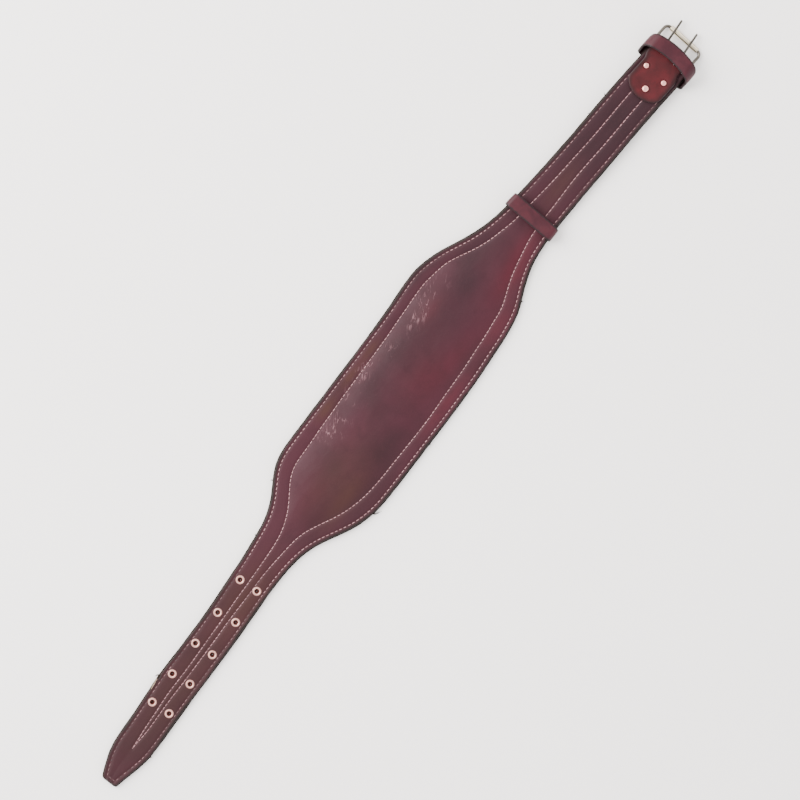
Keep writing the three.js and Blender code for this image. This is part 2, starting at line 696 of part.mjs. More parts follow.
// Wire frame in one piece: the heel bar at x = 0, two side rails and the outer bar
function makeFrame() {
  const half = FRAME_INNER_WIDTH / 2 + FRAME_WIRE_RADIUS;
  const corners = [
    { x: FRAME_LENGTH - FRAME_FRONT_CORNER, y: half - FRAME_FRONT_CORNER, radius: FRAME_FRONT_CORNER, from: 0 },
    { x: FRAME_HEEL_CORNER, y: half - FRAME_HEEL_CORNER, radius: FRAME_HEEL_CORNER, from: 90 },
    { x: FRAME_HEEL_CORNER, y: FRAME_HEEL_CORNER - half, radius: FRAME_HEEL_CORNER, from: 180 },
    { x: FRAME_LENGTH - FRAME_FRONT_CORNER, y: FRAME_FRONT_CORNER - half, radius: FRAME_FRONT_CORNER, from: 270 },
  ];
  const rings = [];
  for (const { x, y, radius, from } of corners) {
    for (let step = 0; step <= CORNER_STEPS; step += 1) {
      const angle = THREE.MathUtils.degToRad(from + (90 * step) / CORNER_STEPS);
      const ring = [];
      for (let side = 0; side < WIRE_SIDES; side += 1) {
        const turn = (2 * Math.PI * side) / WIRE_SIDES;
        const reach = radius + FRAME_WIRE_RADIUS * Math.cos(turn);
        ring.push([x + reach * Math.cos(angle), y + reach * Math.sin(angle), FRAME_WIRE_RADIUS * Math.sin(turn)]);
      }
      rings.push(ring);
    }
  }
  return part('buckle_frame', loft(rings, true), MATERIALS.nickel);
}

function makeRoller() {
  const bore = ROLLER_RADIUS - ROLLER_WALL;
  const half = FRAME_INNER_WIDTH / 2 + FRAME_WIRE_RADIUS - FRAME_FRONT_CORNER;
  const profile = [[bore, -half], [ROLLER_RADIUS, -half], [ROLLER_RADIUS, half], [bore, half]];
  const geometry = turned(profile);
  geometry.rotateX(Math.PI / 2);
  const roller = part('roller', geometry, MATERIALS.nickel);
  roller.position.x = FRAME_LENGTH;
  return roller;
}

// Wire prong: an eye round the heel bar and a shank that bends down a little at its tip
function makeProng({ name, y }) {
  const points = [];
  const skew = Math.tan(PRONG_YAW);
  for (let step = 0; step <= EYE_STEPS; step += 1) {
    const angle = THREE.MathUtils.degToRad(lerp(EYE_END_ANGLE, -270, step / EYE_STEPS));
    const x = PRONG_EYE_RADIUS * Math.cos(angle);
    points.push(new THREE.Vector3(x, x * skew, PRONG_EYE_RADIUS * Math.sin(angle)));
  }
  const bendStart = FRAME_LENGTH + ROLLER_RADIUS;
  for (const x of [bendStart / 3, (2 * bendStart) / 3, bendStart, lerp(bendStart, PRONG_LENGTH, 0.5), PRONG_LENGTH]) {
    const bend = Math.max(0, (x - bendStart) / (PRONG_LENGTH - bendStart));
    points.push(new THREE.Vector3(x, x * skew, PRONG_EYE_RADIUS - PRONG_TIP_DROP * bend ** 2));
  }
  const section = new THREE.Shape();
  section.absarc(0, 0, PRONG_RADIUS, 0, 2 * Math.PI, false);
  const geometry = new THREE.ExtrudeGeometry(section, {
    extrudePath: new THREE.CatmullRomCurve3(points, false, 'centripetal'),
    steps: PRONG_STEPS,
    curveSegments: WIRE_SIDES / 2,
    bevelEnabled: false,
  });
  const prong = part(name, merged(geometry), MATERIALS.nickel);
  prong.position.y = y;
  return prong;
}

// At rest the roller lies on the ground and the prongs lie on the roller
const FRAME_DROP = Math.asin((BAR_Z - ROLLER_RADIUS) / FRAME_LENGTH);
const PRONG_LIFT = Math.asin((ROLLER_RADIUS + SEAT_GAP + PRONG_RADIUS - PRONG_EYE_RADIUS) / FRAME_LENGTH);

function makeBuckle() {
  const buckle = new THREE.Group();
  const frame = new THREE.Group();
  frame.add(makeFrame(), makeRoller());
  frame.position.y = FRAME_OFFSET;
  frame.rotation.y = FRAME_DROP;
  const prongs = new THREE.Group();
  prongs.add(...prongPlaces().map(makeProng));
  prongs.rotation.y = FRAME_DROP - PRONG_LIFT;
  buckle.add(frame, prongs);
  return buckle;
}

// Buckle end, in line with the strap's last stretch: its origin is the heel bar's middle
function makeBuckleEnd() {
  const end = new THREE.Group();
  const loop = makeKeeperLoop();
  loop.position.z = -BAR_Z;
  end.add(makeTab(), loop, ...makeRivets(), makeBuckle());
  end.position.set(BAR_X, middleAt(beltLength), BAR_Z);
  end.rotation.z = END_YAW;
  return end;
}

// The whole belt, with its origin under the middle of its bounding box
function makeBelt() {
  const belt = new THREE.Group();
  belt.add(makeFace(), makeLining(), ...makeEyelets(), makeKeeperBand(), makeBuckleEnd());
  belt.updateMatrixWorld(true);
  const box = new THREE.Box3().setFromObject(belt, true);
  const centre = box.getCenter(new THREE.Vector3());
  belt.position.set(-centre.x, -centre.y, -box.min.z);
  belt.updateMatrixWorld(true);
  return belt;
}

export default makeBelt();
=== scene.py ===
# Weightlifting belt lying open on a pale floor: fine leather, thread and metal pieces over the CAD frame.
import json
import math
import random

import bpy
from mathutils import Matrix, Vector, noise
from mathutils.bvhtree import BVHTree


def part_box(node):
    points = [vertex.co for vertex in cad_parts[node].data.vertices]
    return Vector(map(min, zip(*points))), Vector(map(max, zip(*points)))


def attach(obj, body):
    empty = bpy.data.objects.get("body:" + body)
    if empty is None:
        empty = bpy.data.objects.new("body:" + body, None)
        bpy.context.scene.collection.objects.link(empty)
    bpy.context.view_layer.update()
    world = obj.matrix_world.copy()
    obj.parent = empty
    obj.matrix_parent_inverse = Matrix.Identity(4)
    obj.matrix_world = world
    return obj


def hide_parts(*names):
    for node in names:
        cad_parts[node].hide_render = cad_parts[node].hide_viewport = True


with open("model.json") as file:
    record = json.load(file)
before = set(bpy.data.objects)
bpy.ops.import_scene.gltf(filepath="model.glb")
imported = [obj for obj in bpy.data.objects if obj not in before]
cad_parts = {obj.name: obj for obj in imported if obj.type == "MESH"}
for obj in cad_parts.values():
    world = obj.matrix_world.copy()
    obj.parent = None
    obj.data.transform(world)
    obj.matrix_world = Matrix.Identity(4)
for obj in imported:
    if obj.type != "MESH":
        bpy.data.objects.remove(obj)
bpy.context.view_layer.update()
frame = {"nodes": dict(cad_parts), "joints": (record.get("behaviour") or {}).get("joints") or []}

MM = 0.001

# Leather layers
FACE_THICKNESS = 3 * MM
LINING_THICKNESS = 1.6 * MM
LINING_PROUD = 1 * MM
LAYER_GAP = 0.3 * MM
EDGE_ROUND = 1.1 * MM
TIP_CORNER = 2.6 * MM

# Stitch rows. The inner rows' insets from the belt's edge are pairs of a place along the belt and the inset
# there, both in millimetres, for the upper side (1) and the lower side (-1).
OUTER_STITCH_INSET = 4.7 * MM
INNER_INSETS = {
    1: (
        (-352, 16.9), (-318, 17.6), (-270, 16.5), (-237, 16.8), (-214, 17.7), (-168, 19.6), (-122, 17),
        (-88, 17.6), (-53, 16.4), (-20, 15.5), (39, 14.9), (62, 14.5), (108, 15), (131, 13.2),
        (177, 14.2), (200, 14.9), (269, 15.9), (315, 16.6), (361, 16.3),
    ),
    -1: (
        (-352, 17), (-318, 16.3), (-260, 16.6), (-214, 15), (-180, 14.3), (-140, 16.4), (-99, 17.7),
        (-53, 16.2), (0, 15.3), (39, 16.3), (85, 16.6), (108, 17), (131, 16), (177, 13.5), (200, 14.8),
        (223, 15.2), (269, 16.8), (315, 16.1), (338, 16.2),
    ),
}
LEAST_STITCH_SHARE = 0.03
INNER_ROWS_MEET = 26 * MM
INNER_ROWS_LEAST = 0.12
STITCHES = {
    "outer": {"pitch": 4.4 * MM, "length": 2.9 * MM},
    "inner": {"pitch": 4.05 * MM, "length": 3.45 * MM},
}
STRAP_STITCH_STRETCH = 1.15
STRAP_START = 190 * MM
STRAP_BLEND = 20 * MM
STITCH_HALF_WIDTH = 0.3 * MM
STITCH_HALF_HEIGHT = 0.3 * MM
STITCH_ARCH = 1.5
STITCH_SINK = 1.1
STITCH_SLANT = 0.1 * MM
STITCH_SLANT_SPREAD = 0.05 * MM
FACE_STITCH_RISE = 0.09 * MM
UNDERSIDE_STITCH_RISE = 0.4 * MM
UNDERSIDE_WEAR = 0.35
WEAR_FADE = 12 * MM
GROOVE_DEPTH = 0.38 * MM
GROOVE_REACH = 1.1 * MM
OUTER_ROW_START = 4.6 * MM
INNER_ROW_START = 37 * MM
ROW_END_MARGIN = 3 * MM

# How far the leather reaches past the solids' edge: along the lower side up to a fade, and round the shoulder
LOWER_OUTSET = 1 * MM
LOWER_OUTSET_END = 190 * MM
LOWER_OUTSET_FADE = 30 * MM
SHOULDER_OUTSET = 1.6 * MM
SHOULDER_LOWER_SHARE = 0.6
SHOULDER = 125 * MM
SHOULDER_REACH = 34 * MM

# Relief of the face
FLANGE_BULGE = 0.16 * MM
PAD_WAVE = 0.4 * MM
CROWN_POWER = 2.5
EDGE_WANDER = 0.22 * MM

# Grids of the sheets
SAMPLE_STEP = 1 * MM
STATION_STEP = 1.35 * MM
TIP_STEP = 0.4 * MM
TIP_ZONE = 45 * MM
TIP_SMOOTHING = 2 * MM
SMOOTHING = 6.5 * MM
FLANGE_SHARES = (0, 0.008, 0.022, 0.045, 0.075, 0.115, 0.16, 0.2, 0.223, 0.243, 0.263, 0.3, 0.35,
                 0.42, 0.5, 0.6, 0.7, 0.79, 0.87, 0.925, 0.965, 1)
PAD_SHARES = (0.035, 0.075, 0.13, 0.2, 0.29, 0.39, 0.5, 0.61, 0.72, 0.82, 0.91, 1)

# Keepers
KEEPER_CROWN = 0.25 * MM
BAND_BREADTH = 14.4 * MM
BAND_THICKNESS = 1.7 * MM
BAND_CORNER = 4.5 * MM
BAND_SIDE_NARROWING = 0.6 * MM
LOOP_BREADTH = 14.6 * MM
LOOP_FLOOR_BREADTH = 11 * MM
LOOP_THICKNESS = 2.2 * MM
LOOP_HALF = 27.15 * MM
LOOP_TOP_CORNER = 9 * MM
LOOP_FLOOR_CORNER = 6 * MM
LOOP_TOP_PLACE = 4.4 * MM
LOOP_FLOOR_PLACE = -10 * MM
LOOP_BOW = 4.4 * MM

# Tab, in the buckle end's own frame with the heel bar at its origin
TAB_WIDTH = 37.6 * MM
TAB_LENGTH = 46.9 * MM
TAB_THICKNESS = 2.4 * MM
TAB_END_DEPTH = 13 * MM
TAB_OFFSET = -0.9 * MM
TAB_SHIFT_START = -17 * MM
TAB_SHIFT_END = -7 * MM
TAB_EDGE_ROUND = 1.1 * MM
TAB_DENT = 0.35 * MM
TAB_DENT_REACH = 4.6 * MM
FOLD_INNER = 2.75 * MM
SLOT_BACK = -3 * MM
SLOT_WIDTH = 3.5 * MM

# Buckle
FRAME_OFFSET = 2 * MM
FRAME_WIRE_RADIUS = 1.45 * MM
FRAME_INNER_WIDTH = 38.6 * MM
FRAME_LENGTH = 22.5 * MM
FRAME_FRONT_CORNER = 4.4 * MM
FRAME_HEEL_CORNER = 3.2 * MM
ROLLER_RADIUS = 2.5 * MM
ROLLER_WALL = 0.7 * MM
PRONG_RADIUS = 1.1 * MM
PRONG_EYE_RADIUS = 2.95 * MM
PRONG_LENGTH = 34 * MM
PRONG_TIP_DROP = 1.3 * MM
PRONG_SKEW = math.tan(math.radians(7))
PRONG_MIDDLE = 1.4 * MM
ROW_SPACING = 18.8 * MM
SEAT_GAP = 0.3 * MM

# Sides round the roller, those in its sunken seam, painted dark as shade, and those in its outer line of
# painted shade
ROLLER_SIDES = 48
ROLLER_SEAM = (19, 20, 21)
ROLLER_SEAM_DEPTH = 0.35 * MM
ROLLER_SHADE = (4, 5, 6)
ROLLER_SHADE_STRENGTH = 0.8

# Eyelets and rivets
EYELET_RADIUS = 4.2 * MM
EYELET_BORE = 2.1 * MM
# The bore narrows to this at the eyelet's foot, closing the hole with a dark floor as painted shade where the
# hole shows only shade
EYELET_FOOT_BORE = 0.6 * MM
EYELET_WALL = 0.5 * MM
EYELET_RIM = 0.9 * MM
EYELET_WASHER_RADIUS = 3.9 * MM
EYELET_WASHER_HEIGHT = 0.7 * MM
EYELET_HOLE = 2.9 * MM
RIVET_RADIUS = 3.2 * MM
RIVET_SHANK = 1.5 * MM
RIVET_HOLE = 1.8 * MM
RIVET_DOME = 1.5 * MM
RIVET_CAP_RADIUS = 2.8 * MM
RIVET_CAP_HEIGHT = 0.9 * MM
RIVET_DOME_SHARE = 0.78

# Camera straight above the belt, as in the photograph
VIEW_WIDTH = 0.736
VIEW_PLANE = 5 * MM
VIEW_CENTRE = (0.0034, -0.0081)
VIEW_ROLL = math.radians(-52.27)
LENS = 240
SENSOR = 36

# Light: window in watts, and the surround's strength from the sides and from overhead, by height in the sky
WINDOW_POWER = 121
SIDE_GLOW = 3.16
CEILING_GLOW = 1.37
GLOW_FADE = (0.55, 0.97)
FLOOR_REACH = 12.0

# Soft spots of colour on the face: x, y, reach along and across in millimetres, and strength
SPOTS = {
    "dark": [
        (127, 8, 20, 13, 0.9), (-40, -25, 24, 12, 0.75), (-80, 2, 22, 16, 0.6), (98, -2, 20, 20, 0.5),
        (150, 20, 26, 10, 0.4), (310, -6, 100, 40, 1.0), (-340, -6, 125, 34, 0.95), (330, -18, 40, 9, 0.3),
        # The dark spot at 20, 23 is painted shade that dims the pad's highlight along the upper inner stitch
        # row
        (20, 23, 120, 8, 0.45), (100, 52, 34, 5, 0.95),
    ],
    "red": [
        (86, 21, 17, 7, 0.6), (25, -44, 34, 5, 0.9), (155, -20, 26, 10, 1.0), (33, -11, 26, 14, 0.6),
        (186, -12, 26, 9, 0.8), (-118, 0, 24, 10, 0.3), (60, -25, 40, 9, 0.5), (112, -38, 26, 8, 0.7),
    ],
    "brown": [
        (23, 41.5, 13, 4, 0.8), (-8, 41.5, 14, 4, 0.9), (-45, 40.5, 13, 5, 0.9), (-330, -9, 95, 26, 0.45),
        (-225, -8, 40, 22, 0.5), (250, -4, 26, 8, 0.4), (-100, -24, 30, 8, 0.5), (-88, -6, 40, 22, 0.4),
    ],
    # Crease spots: real creases, with painted sheen laid on them in the face's colour
    "crease_and_sheen": [
        (-56, 24, 15, 7, 1.0), (16, 33, 24, 6, 0.8), (84, 28, 22, 7, 1.0), (-22, 28, 10, 6, 0.5),
    ],
}

# Stretches of stitching whose thread is dirty or worn, in millimetres along the belt
WORN = [
    {"row": "outer", "side": -1, "start": 225, "end": 400, "amount": 0.75},
    {"row": "outer", "side": 1, "start": -445, "end": -200, "amount": 0.95},
    {"row": "outer", "side": -1, "start": -445, "end": -215, "amount": 0.8},
    {"row": "outer", "side": 1, "start": -60, "end": 60, "amount": 0.35},
    {"row": "outer", "side": 1, "start": 65, "end": 135, "amount": 0.6},
    {"row": "outer", "side": 1, "start": 215, "end": 400, "amount": 0.6},
    {"row": "inner", "side": -1, "start": -410, "end": -190, "amount": 0.3},
    {"row": "inner", "side": 1, "start": -410, "end": -190, "amount": 0.3},
    {"row": "inner", "side": -1, "start": 225, "end": 400, "amount": 0.2},
    {"row": "inner", "side": 1, "start": 225, "end": 400, "amount": 0.2},
]

# Torn place on the tongue's edge, and loose fibres at the lining's edge
FIBRE_RADIUS = 0.24 * MM
FIBRE_STRANDS = 4
NICK = {"x": -334 * MM, "reach": 2.4 * MM, "depth": 1.2 * MM}
TORN_STRIP = {
    "start": -347 * MM, "end": -336 * MM, "inset": 1.7 * MM, "half_width": 0.6 * MM, "half_height": 0.25 * MM,
}
FIBRES = [
    {"x": -95, "side": -1, "length": 5.6, "lean": 0.9},
    {"x": -127, "side": 1, "length": 2.4, "lean": -0.6},
    {"x": -177, "side": 1, "length": 2.0, "lean": 0.5},
    {"x": -12, "side": -1, "length": 1.8, "lean": -0.7},
    {"x": -333, "side": 1, "length": 2.8, "lean": -1.2},
    {"x": 143, "side": -1, "length": 1.6, "lean": 0.6},
    {"x": 340, "side": 1, "length": 2.6, "lean": 0.8},
    {"x": 318, "side": 1, "length": 1.8, "lean": -0.5},
    {"x": -398, "side": -1, "length": 1.8, "lean": 0.4},
]

random.seed(7)


def clamp(value, low, high):
    return max(low, min(high, value))


def lerp(a, b, t):
    return a + (b - a) * t


def smoothstep(value, low, high):
    t = clamp((value - low) / (high - low), 0, 1)
    return t * t * (3 - 2 * t)


# The belt's outline and heights, read off the frame

def surface_of(node):
    mesh = frame["nodes"][node].data
    points = [vertex.co for vertex in mesh.vertices]
    return BVHTree.FromPolygons(points, [tuple(face.vertices) for face in mesh.polygons])


def smoothed(values):
    """Values smoothed along the belt, less near the tongue's tip, whose corners are sharper."""
    reach = round(3 * SMOOTHING / SAMPLE_STEP)
    before = [2 * values[0] - values[k] for k in range(reach, 0, -1)]
    after = [2 * values[-1] - values[-1 - k] for k in range(1, reach + 1)]
    padded = before + values + after
    result = []
    for i in range(len(values)):
        width = lerp(TIP_SMOOTHING, SMOOTHING, smoothstep(i * SAMPLE_STEP, TIP_ZONE, 2 * TIP_ZONE))
        weights = [math.exp(-0.5 * (k * SAMPLE_STEP / width) ** 2) for k in range(-reach, reach + 1)]
        result.append(sum(w * padded[i + k] for k, w in enumerate(weights)) / sum(weights))
    return result


class Belt:
    """Edges, middle and heights of the belt along X, smoothed from the frame's lining and face."""

    def __init__(self):
        low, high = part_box("lining")
        self.start, self.end = low[0], high[0]
        count = round((self.end - self.start) / SAMPLE_STEP)
        self.step = (self.end - self.start) / count
        lining = surface_of("lining")
        face = surface_of("face_leather")
        tip = [v.co.y for v in frame["nodes"]["lining"].data.vertices if v.co.x < self.start + 0.01 * MM]
        middle = sum(tip) / len(tip)
        rows = []
        for k in range(count + 1):
            x = clamp(self.start + k * self.step, self.start + 0.02 * MM, self.end - 0.02 * MM)
            beside = middle + 2 * MM
            floor = lining.ray_cast(Vector((x, beside, -0.01)), Vector((0, 0, 1)))[0].z
            level = floor + LINING_THICKNESS / 3
            upper = lining.ray_cast(Vector((x, 0.2, level)), Vector((0, -1, 0)))[0].y
            lower = lining.ray_cast(Vector((x, -0.2, level)), Vector((0, 1, 0)))[0].y
            middle = (upper + lower) / 2
            inside = max(x, self.start + LINING_PROUD + 0.02 * MM)
            top = face.ray_cast(Vector((inside, middle + 2 * MM, 0.1)), Vector((0, 0, -1)))[0].z
            crown = max(0, top - floor - LINING_THICKNESS - LAYER_GAP - FACE_THICKNESS)
            rows.append((upper, lower, floor, crown))
        upper, lower, floor, crown = (smoothed([row[i] for row in rows]) for i in range(4))
        places = [self.start + k * self.step for k in range(count + 1)]
        fade = LOWER_OUTSET_END - LOWER_OUTSET_FADE
        outsets = [LOWER_OUTSET * (1 - smoothstep(x, fade, LOWER_OUTSET_END)) for x in places]
        shoulders = [SHOULDER_OUTSET * math.exp(-((x - SHOULDER) / SHOULDER_REACH) ** 2) for x in places]
        self.edges = {
            1: [y + more for y, more in zip(upper, shoulders)],
            -1: [y - outset - SHOULDER_LOWER_SHARE * more
                 for y, outset, more in zip(lower, outsets, shoulders)],
        }
        self.floors = [max(0, value) for value in floor]
        self.crowns = crown
        self.slopes = {side: smoothed(self.slope_of(self.edges[side])) for side in (1, -1)}

    def slope_of(self, values):
        last = len(values) - 1
        return [(values[min(i + 1, last)] - values[max(i - 1, 0)]) / (self.step * (2 if 0 < i < last else 1))
                for i in range(last + 1)]

    def read(self, values, x):
        place = clamp((x - self.start) / self.step, 0, len(values) - 1.000001)
        index = int(place)
        return lerp(values[index], values[index + 1], place - index)

    def stretch(self, x, side):
        return math.hypot(1, self.read(self.slopes[side], x))

    def edge(self, x, side, inset=0.0):
        return self.read(self.edges[side], x) - side * inset * self.stretch(x, side)

    def inner_inset(self, x, side):
        """Measured inset of the inner stitch row, between the nearest two of its key places."""
        keys = INNER_INSETS[side]
        place = clamp(x / MM, keys[0][0], keys[-1][0])
        for (start, first), (end, last) in zip(keys, keys[1:]):
            if place <= end:
                return lerp(first, last, smoothstep(place, start, end)) * MM
        return keys[-1][1] * MM

    def middle(self, x):
        return (self.read(self.edges[1], x) + self.read(self.edges[-1], x)) / 2

    def width(self, x):
        return self.read(self.edges[1], x) - self.read(self.edges[-1], x)

    def inner_stitch(self, x, side):
        middle = self.middle(x)
        from_middle = side * (self.edge(x, side, self.inner_inset(x, side)) - middle)
        apart = max(from_middle, LEAST_STITCH_SHARE * self.width(x))
        meeting = self.start + INNER_ROW_START
        opening = smoothstep(x, meeting, meeting + INNER_ROWS_MEET)
        return middle + side * apart * lerp(INNER_ROWS_LEAST, 1, opening)

    def floor(self, x):
        return self.read(self.floors, x)

    def crown(self, x):
        return max(0, self.read(self.crowns, x))

    def face_floor(self, x):
        return self.floor(x) + LINING_THICKNESS + LAYER_GAP


belt = Belt()
FACE_START = belt.start + LINING_PROUD


def wander(x, side, scale, seed):
    """Small unevenness of a hand-cut edge, in metres."""
    return scale * noise.noise(Vector((x * 45, side * 3.1, seed))) + 0.5 * scale * noise.noise(
        Vector((x * 190, side * 5.3, seed + 4)))


def nick_depth(x, side):
    if side < 0:
        return 0
    return NICK["depth"] * math.exp(-((x - NICK["x"]) / NICK["reach"]) ** 4)


def tip_pull(x, start):
    """How far a corner of the tongue's blunt tip is rounded off at x."""
    inside = TIP_CORNER - clamp(x - start, 0, TIP_CORNER)
    return TIP_CORNER - math.sqrt(max(0, TIP_CORNER ** 2 - inside ** 2))


def face_edge(x, side):
    inset = LINING_PROUD + nick_depth(x, side)
    return belt.edge(x, side, inset) - side * tip_pull(x, FACE_START) + wander(x, side, EDGE_WANDER, 1)


def lining_edge(x, side):
    return belt.edge(x, side) - side * tip_pull(x, belt.start) + wander(x, side, 1.3 * EDGE_WANDER, 2)


def groove(distance):
    return math.exp(-(distance / GROOVE_REACH) ** 2)


def face_facts(x, y):
    """Distances in metres: in from the face's edge and to the stitch rows, and the share into the pad."""
    side = 1 if y >= belt.middle(x) else -1
    stretch = belt.stretch(x, side)
    own_edge = min(side * (face_edge(x, side) - y) / stretch, x - FACE_START)
    inset = side * (belt.edge(x, side) - y) / stretch
    inner = belt.inner_stitch(x, side)
    to_inner = side * (y - inner) / stretch
    in_row = x > belt.start + INNER_ROW_START
    to_rows = [abs(inset - OUTER_STITCH_INSET), abs(to_inner) if in_row else 1.0]
    if inset > OUTER_STITCH_INSET:
        to_rows.append(abs(x - belt.start - OUTER_ROW_START))
    pad = clamp(-to_inner * stretch / max(side * (inner - belt.middle(x)), 0.1 * MM), 0, 1)
    return {"edge": max(0, own_edge), "inset": inset, "to_inner": to_inner, "seam": min(to_rows), "pad": pad}


def face_top(x, y, facts=None):
    """Height of the face with its crown, flange, stitch grooves, swells and rounded edge."""
    facts = facts or face_facts(x, y)
    height = belt.face_floor(x) + FACE_THICKNESS
    crown = belt.crown(x)
    height += crown * (1 - (1 - facts["pad"]) ** CROWN_POWER)
    between = facts["inset"] - OUTER_STITCH_INSET
    gap = between + facts["to_inner"]
    if facts["to_inner"] > 0 and between > 0 and gap > 2 * MM:
        height += FLANGE_BULGE * math.sin(math.pi * between / gap)
    height -= GROOVE_DEPTH * groove(facts["seam"])
    swell = noise.noise(Vector((x * 26, y * 38, 3.3))) + 0.5 * noise.noise(Vector((x * 70, y * 90, 7.1)))
    height += PAD_WAVE * swell * facts["pad"] * clamp(crown / (3 * MM), 0.15, 1)
    if facts["edge"] < EDGE_ROUND:
        rest = EDGE_ROUND - facts["edge"]
        height -= EDGE_ROUND - math.sqrt(max(0, EDGE_ROUND ** 2 - rest ** 2))
    return height


def spot_strength(kind, x, y):
    total = 0
    for spot_x, spot_y, along, across, strength in SPOTS[kind]:
        distance = ((x / MM - spot_x) / along) ** 2 + ((y / MM - spot_y) / across) ** 2
        total += strength * math.exp(-distance)
    return min(total, 1)


# Mesh helpers

def make(name, vertices, faces, body, material, nodes=(), attributes=None, smooth_angle=50):
    mesh = bpy.data.meshes.new(name)
    mesh.from_pydata([tuple(vertex) for vertex in vertices], [], faces)
    mesh.validate()
    for key, values in (attributes or {}).items():
        mesh.attributes.new(key, "FLOAT", "POINT").data.foreach_set("value", values)
    mesh.materials.append(material)
    mesh.polygons.foreach_set("use_smooth", [True] * len(mesh.polygons))
    mesh.set_sharp_from_angle(angle=math.radians(smooth_angle))
    piece = bpy.data.objects.new(name, mesh)
    bpy.context.scene.collection.objects.link(piece)
    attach(piece, body)
    if nodes:
        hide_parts(*nodes)
    return piece


def loft(rings, closed):
    """Vertices and faces of a tube through rings of points, closed on itself or capped at both ends."""
    count = len(rings[0])
    spans = len(rings) if closed else len(rings) - 1
    faces = []
    for i in range(spans):
        here, there = i * count, (i + 1) % len(rings) * count
        for j in range(count):
            k = (j + 1) % count
            faces.append((here + j, here + k, there + k, there + j))
    if not closed:
        last = (len(rings) - 1) * count
        faces.append(tuple(range(count - 1, -1, -1)))
        faces.append(tuple(range(last, last + count)))
    return [point for ring in rings for point in ring], faces


def turned(profile, centre, sides=40):
    """Vertices and faces of a closed [radius, height] profile turned round Z."""
    rings = []
    for k in range(sides):
        angle = -2 * math.pi * k / sides
        turn = Vector((math.cos(angle), math.sin(angle), 0))
        rings.append([centre + turn * radius + Vector((0, 0, height)) for radius, height in profile])
    return loft(rings, True)


def oval(centre, across, up, wide, high, sides):
    """Points round a centre, from across towards up, at the half widths wide and high."""
    points = []
    for side in range(sides):
        angle = 2 * math.pi * side / sides
        points.append(centre + across * (wide * math.cos(angle)) + up * (high * math.sin(angle)))
    return points


def arc(centre_r, centre_z, radius_r, radius_z, start, end, steps):
    points = []
    for k in range(steps + 1):
        angle = math.radians(lerp(start, end, k / steps))
        points.append((centre_r + radius_r * math.cos(angle), centre_z + radius_z * math.sin(angle)))
    return points


class Sheet:
    """Closed sheet on a grid of stations and columns: two skins, walls between them and round holes."""

    def __init__(self, upper, lower, holes=()):
        self.upper, self.lower = upper, lower
        self.rows, self.columns = len(upper), len(upper[0])
        self.gone = set()
        for hole in holes:
            self.punch(*hole)

    def cells_round(self, i, j):
        return [(a, b) for a in (i - 1, i) for b in (j - 1, j)
                if 0 <= a < self.rows - 1 and 0 <= b < self.columns - 1]

    def punch(self, x, y, radius):
        cut = set()
        for i, row in enumerate(self.upper):
            if abs(row[0].x - x) > radius:
                continue
            for j, point in enumerate(row):
                if math.hypot(point.x - x, point.y - y) < radius:
                    cut.update(self.cells_round(i, j))
        self.gone |= cut
        rim = {(a + di, b + dj) for a, b in cut for di in (0, 1) for dj in (0, 1)}
        for i, j in rim:
            for skin in (self.upper, self.lower):
                away = Vector((skin[i][j].x - x, skin[i][j].y - y, 0))
                if away.length > radius * 0.5:
                    away = away.normalized() * radius
                    skin[i][j] = Vector((x + away.x, y + away.y, skin[i][j].z))

    def cell(self, i, j):
        inside = 0 <= i < self.rows - 1 and 0 <= j < self.columns - 1
        return inside and (i, j) not in self.gone

    def build(self):
        """Vertices, faces and for each vertex the (row, column, skin) it came from."""
        index = {}
        keys = []

        def number(i, j, skin):
            if (i, j, skin) not in index:
                index[(i, j, skin)] = len(keys)
                keys.append((i, j, skin))
            return index[(i, j, skin)]

        faces = []
        for i in range(self.rows - 1):
            for j in range(self.columns - 1):
                if not self.cell(i, j):
                    continue
                corners = [(i, j), (i + 1, j), (i + 1, j + 1), (i, j + 1)]
                beside = [(i, j - 1), (i + 1, j), (i, j + 1), (i - 1, j)]
                faces.append([number(a, b, 0) for a, b in corners])
                faces.append([number(a, b, 1) for a, b in reversed(corners)])
                for k, neighbour in enumerate(beside):
                    if not self.cell(*neighbour):
                        (a, b), (c, d) = corners[k], corners[(k + 1) % 4]
                        faces.append([number(c, d, 0), number(a, b, 0), number(a, b, 1), number(c, d, 1)])
        skins = (self.upper, self.lower)
        vertices = [skins[skin][i][j] for i, j, skin in keys]
        return vertices, faces, keys


# Face and lining

def station_places(start, end):
    places = [start + k * TIP_STEP for k in range(round(TIP_CORNER / TIP_STEP) + 2)]
    count = round((end - places[-1]) / STATION_STEP)
    return places + [lerp(places[-1], end, (k + 1) / count) for k in range(count)]


def face_columns(x):
    """The y of each column from the lower edge to the upper one, closer at edges and stitches."""
    half = {}
    for side in (1, -1):
        edge, inner, middle = face_edge(x, side), belt.inner_stitch(x, side), belt.middle(x)
        if side * (edge - inner) < 0:
            inner = edge
        flange = [lerp(edge, inner, share) for share in FLANGE_SHARES]
        half[side] = flange + [lerp(inner, middle, share) for share in PAD_SHARES]
    return half[-1] + half[1][-2::-1]


def foot_and_height(name):
    """Middle of a piece's underside, and the piece's height."""
    low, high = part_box(name)
    return Vector(((low[0] + high[0]) / 2, (low[1] + high[1]) / 2, low[2])), high[2] - low[2]


def hole_places(names, radius):
    feet = [foot_and_height(name)[0] for name in names]
    return [(foot.x, foot.y, radius) for foot in feet]


EYELETS = [f"eyelet_{k}" for k in range(1, 11)]
RIVETS = ["rivet_1", "rivet_2", "rivet_3"]
HOLES = hole_places(EYELETS, EYELET_HOLE) + hole_places(RIVETS, RIVET_HOLE)


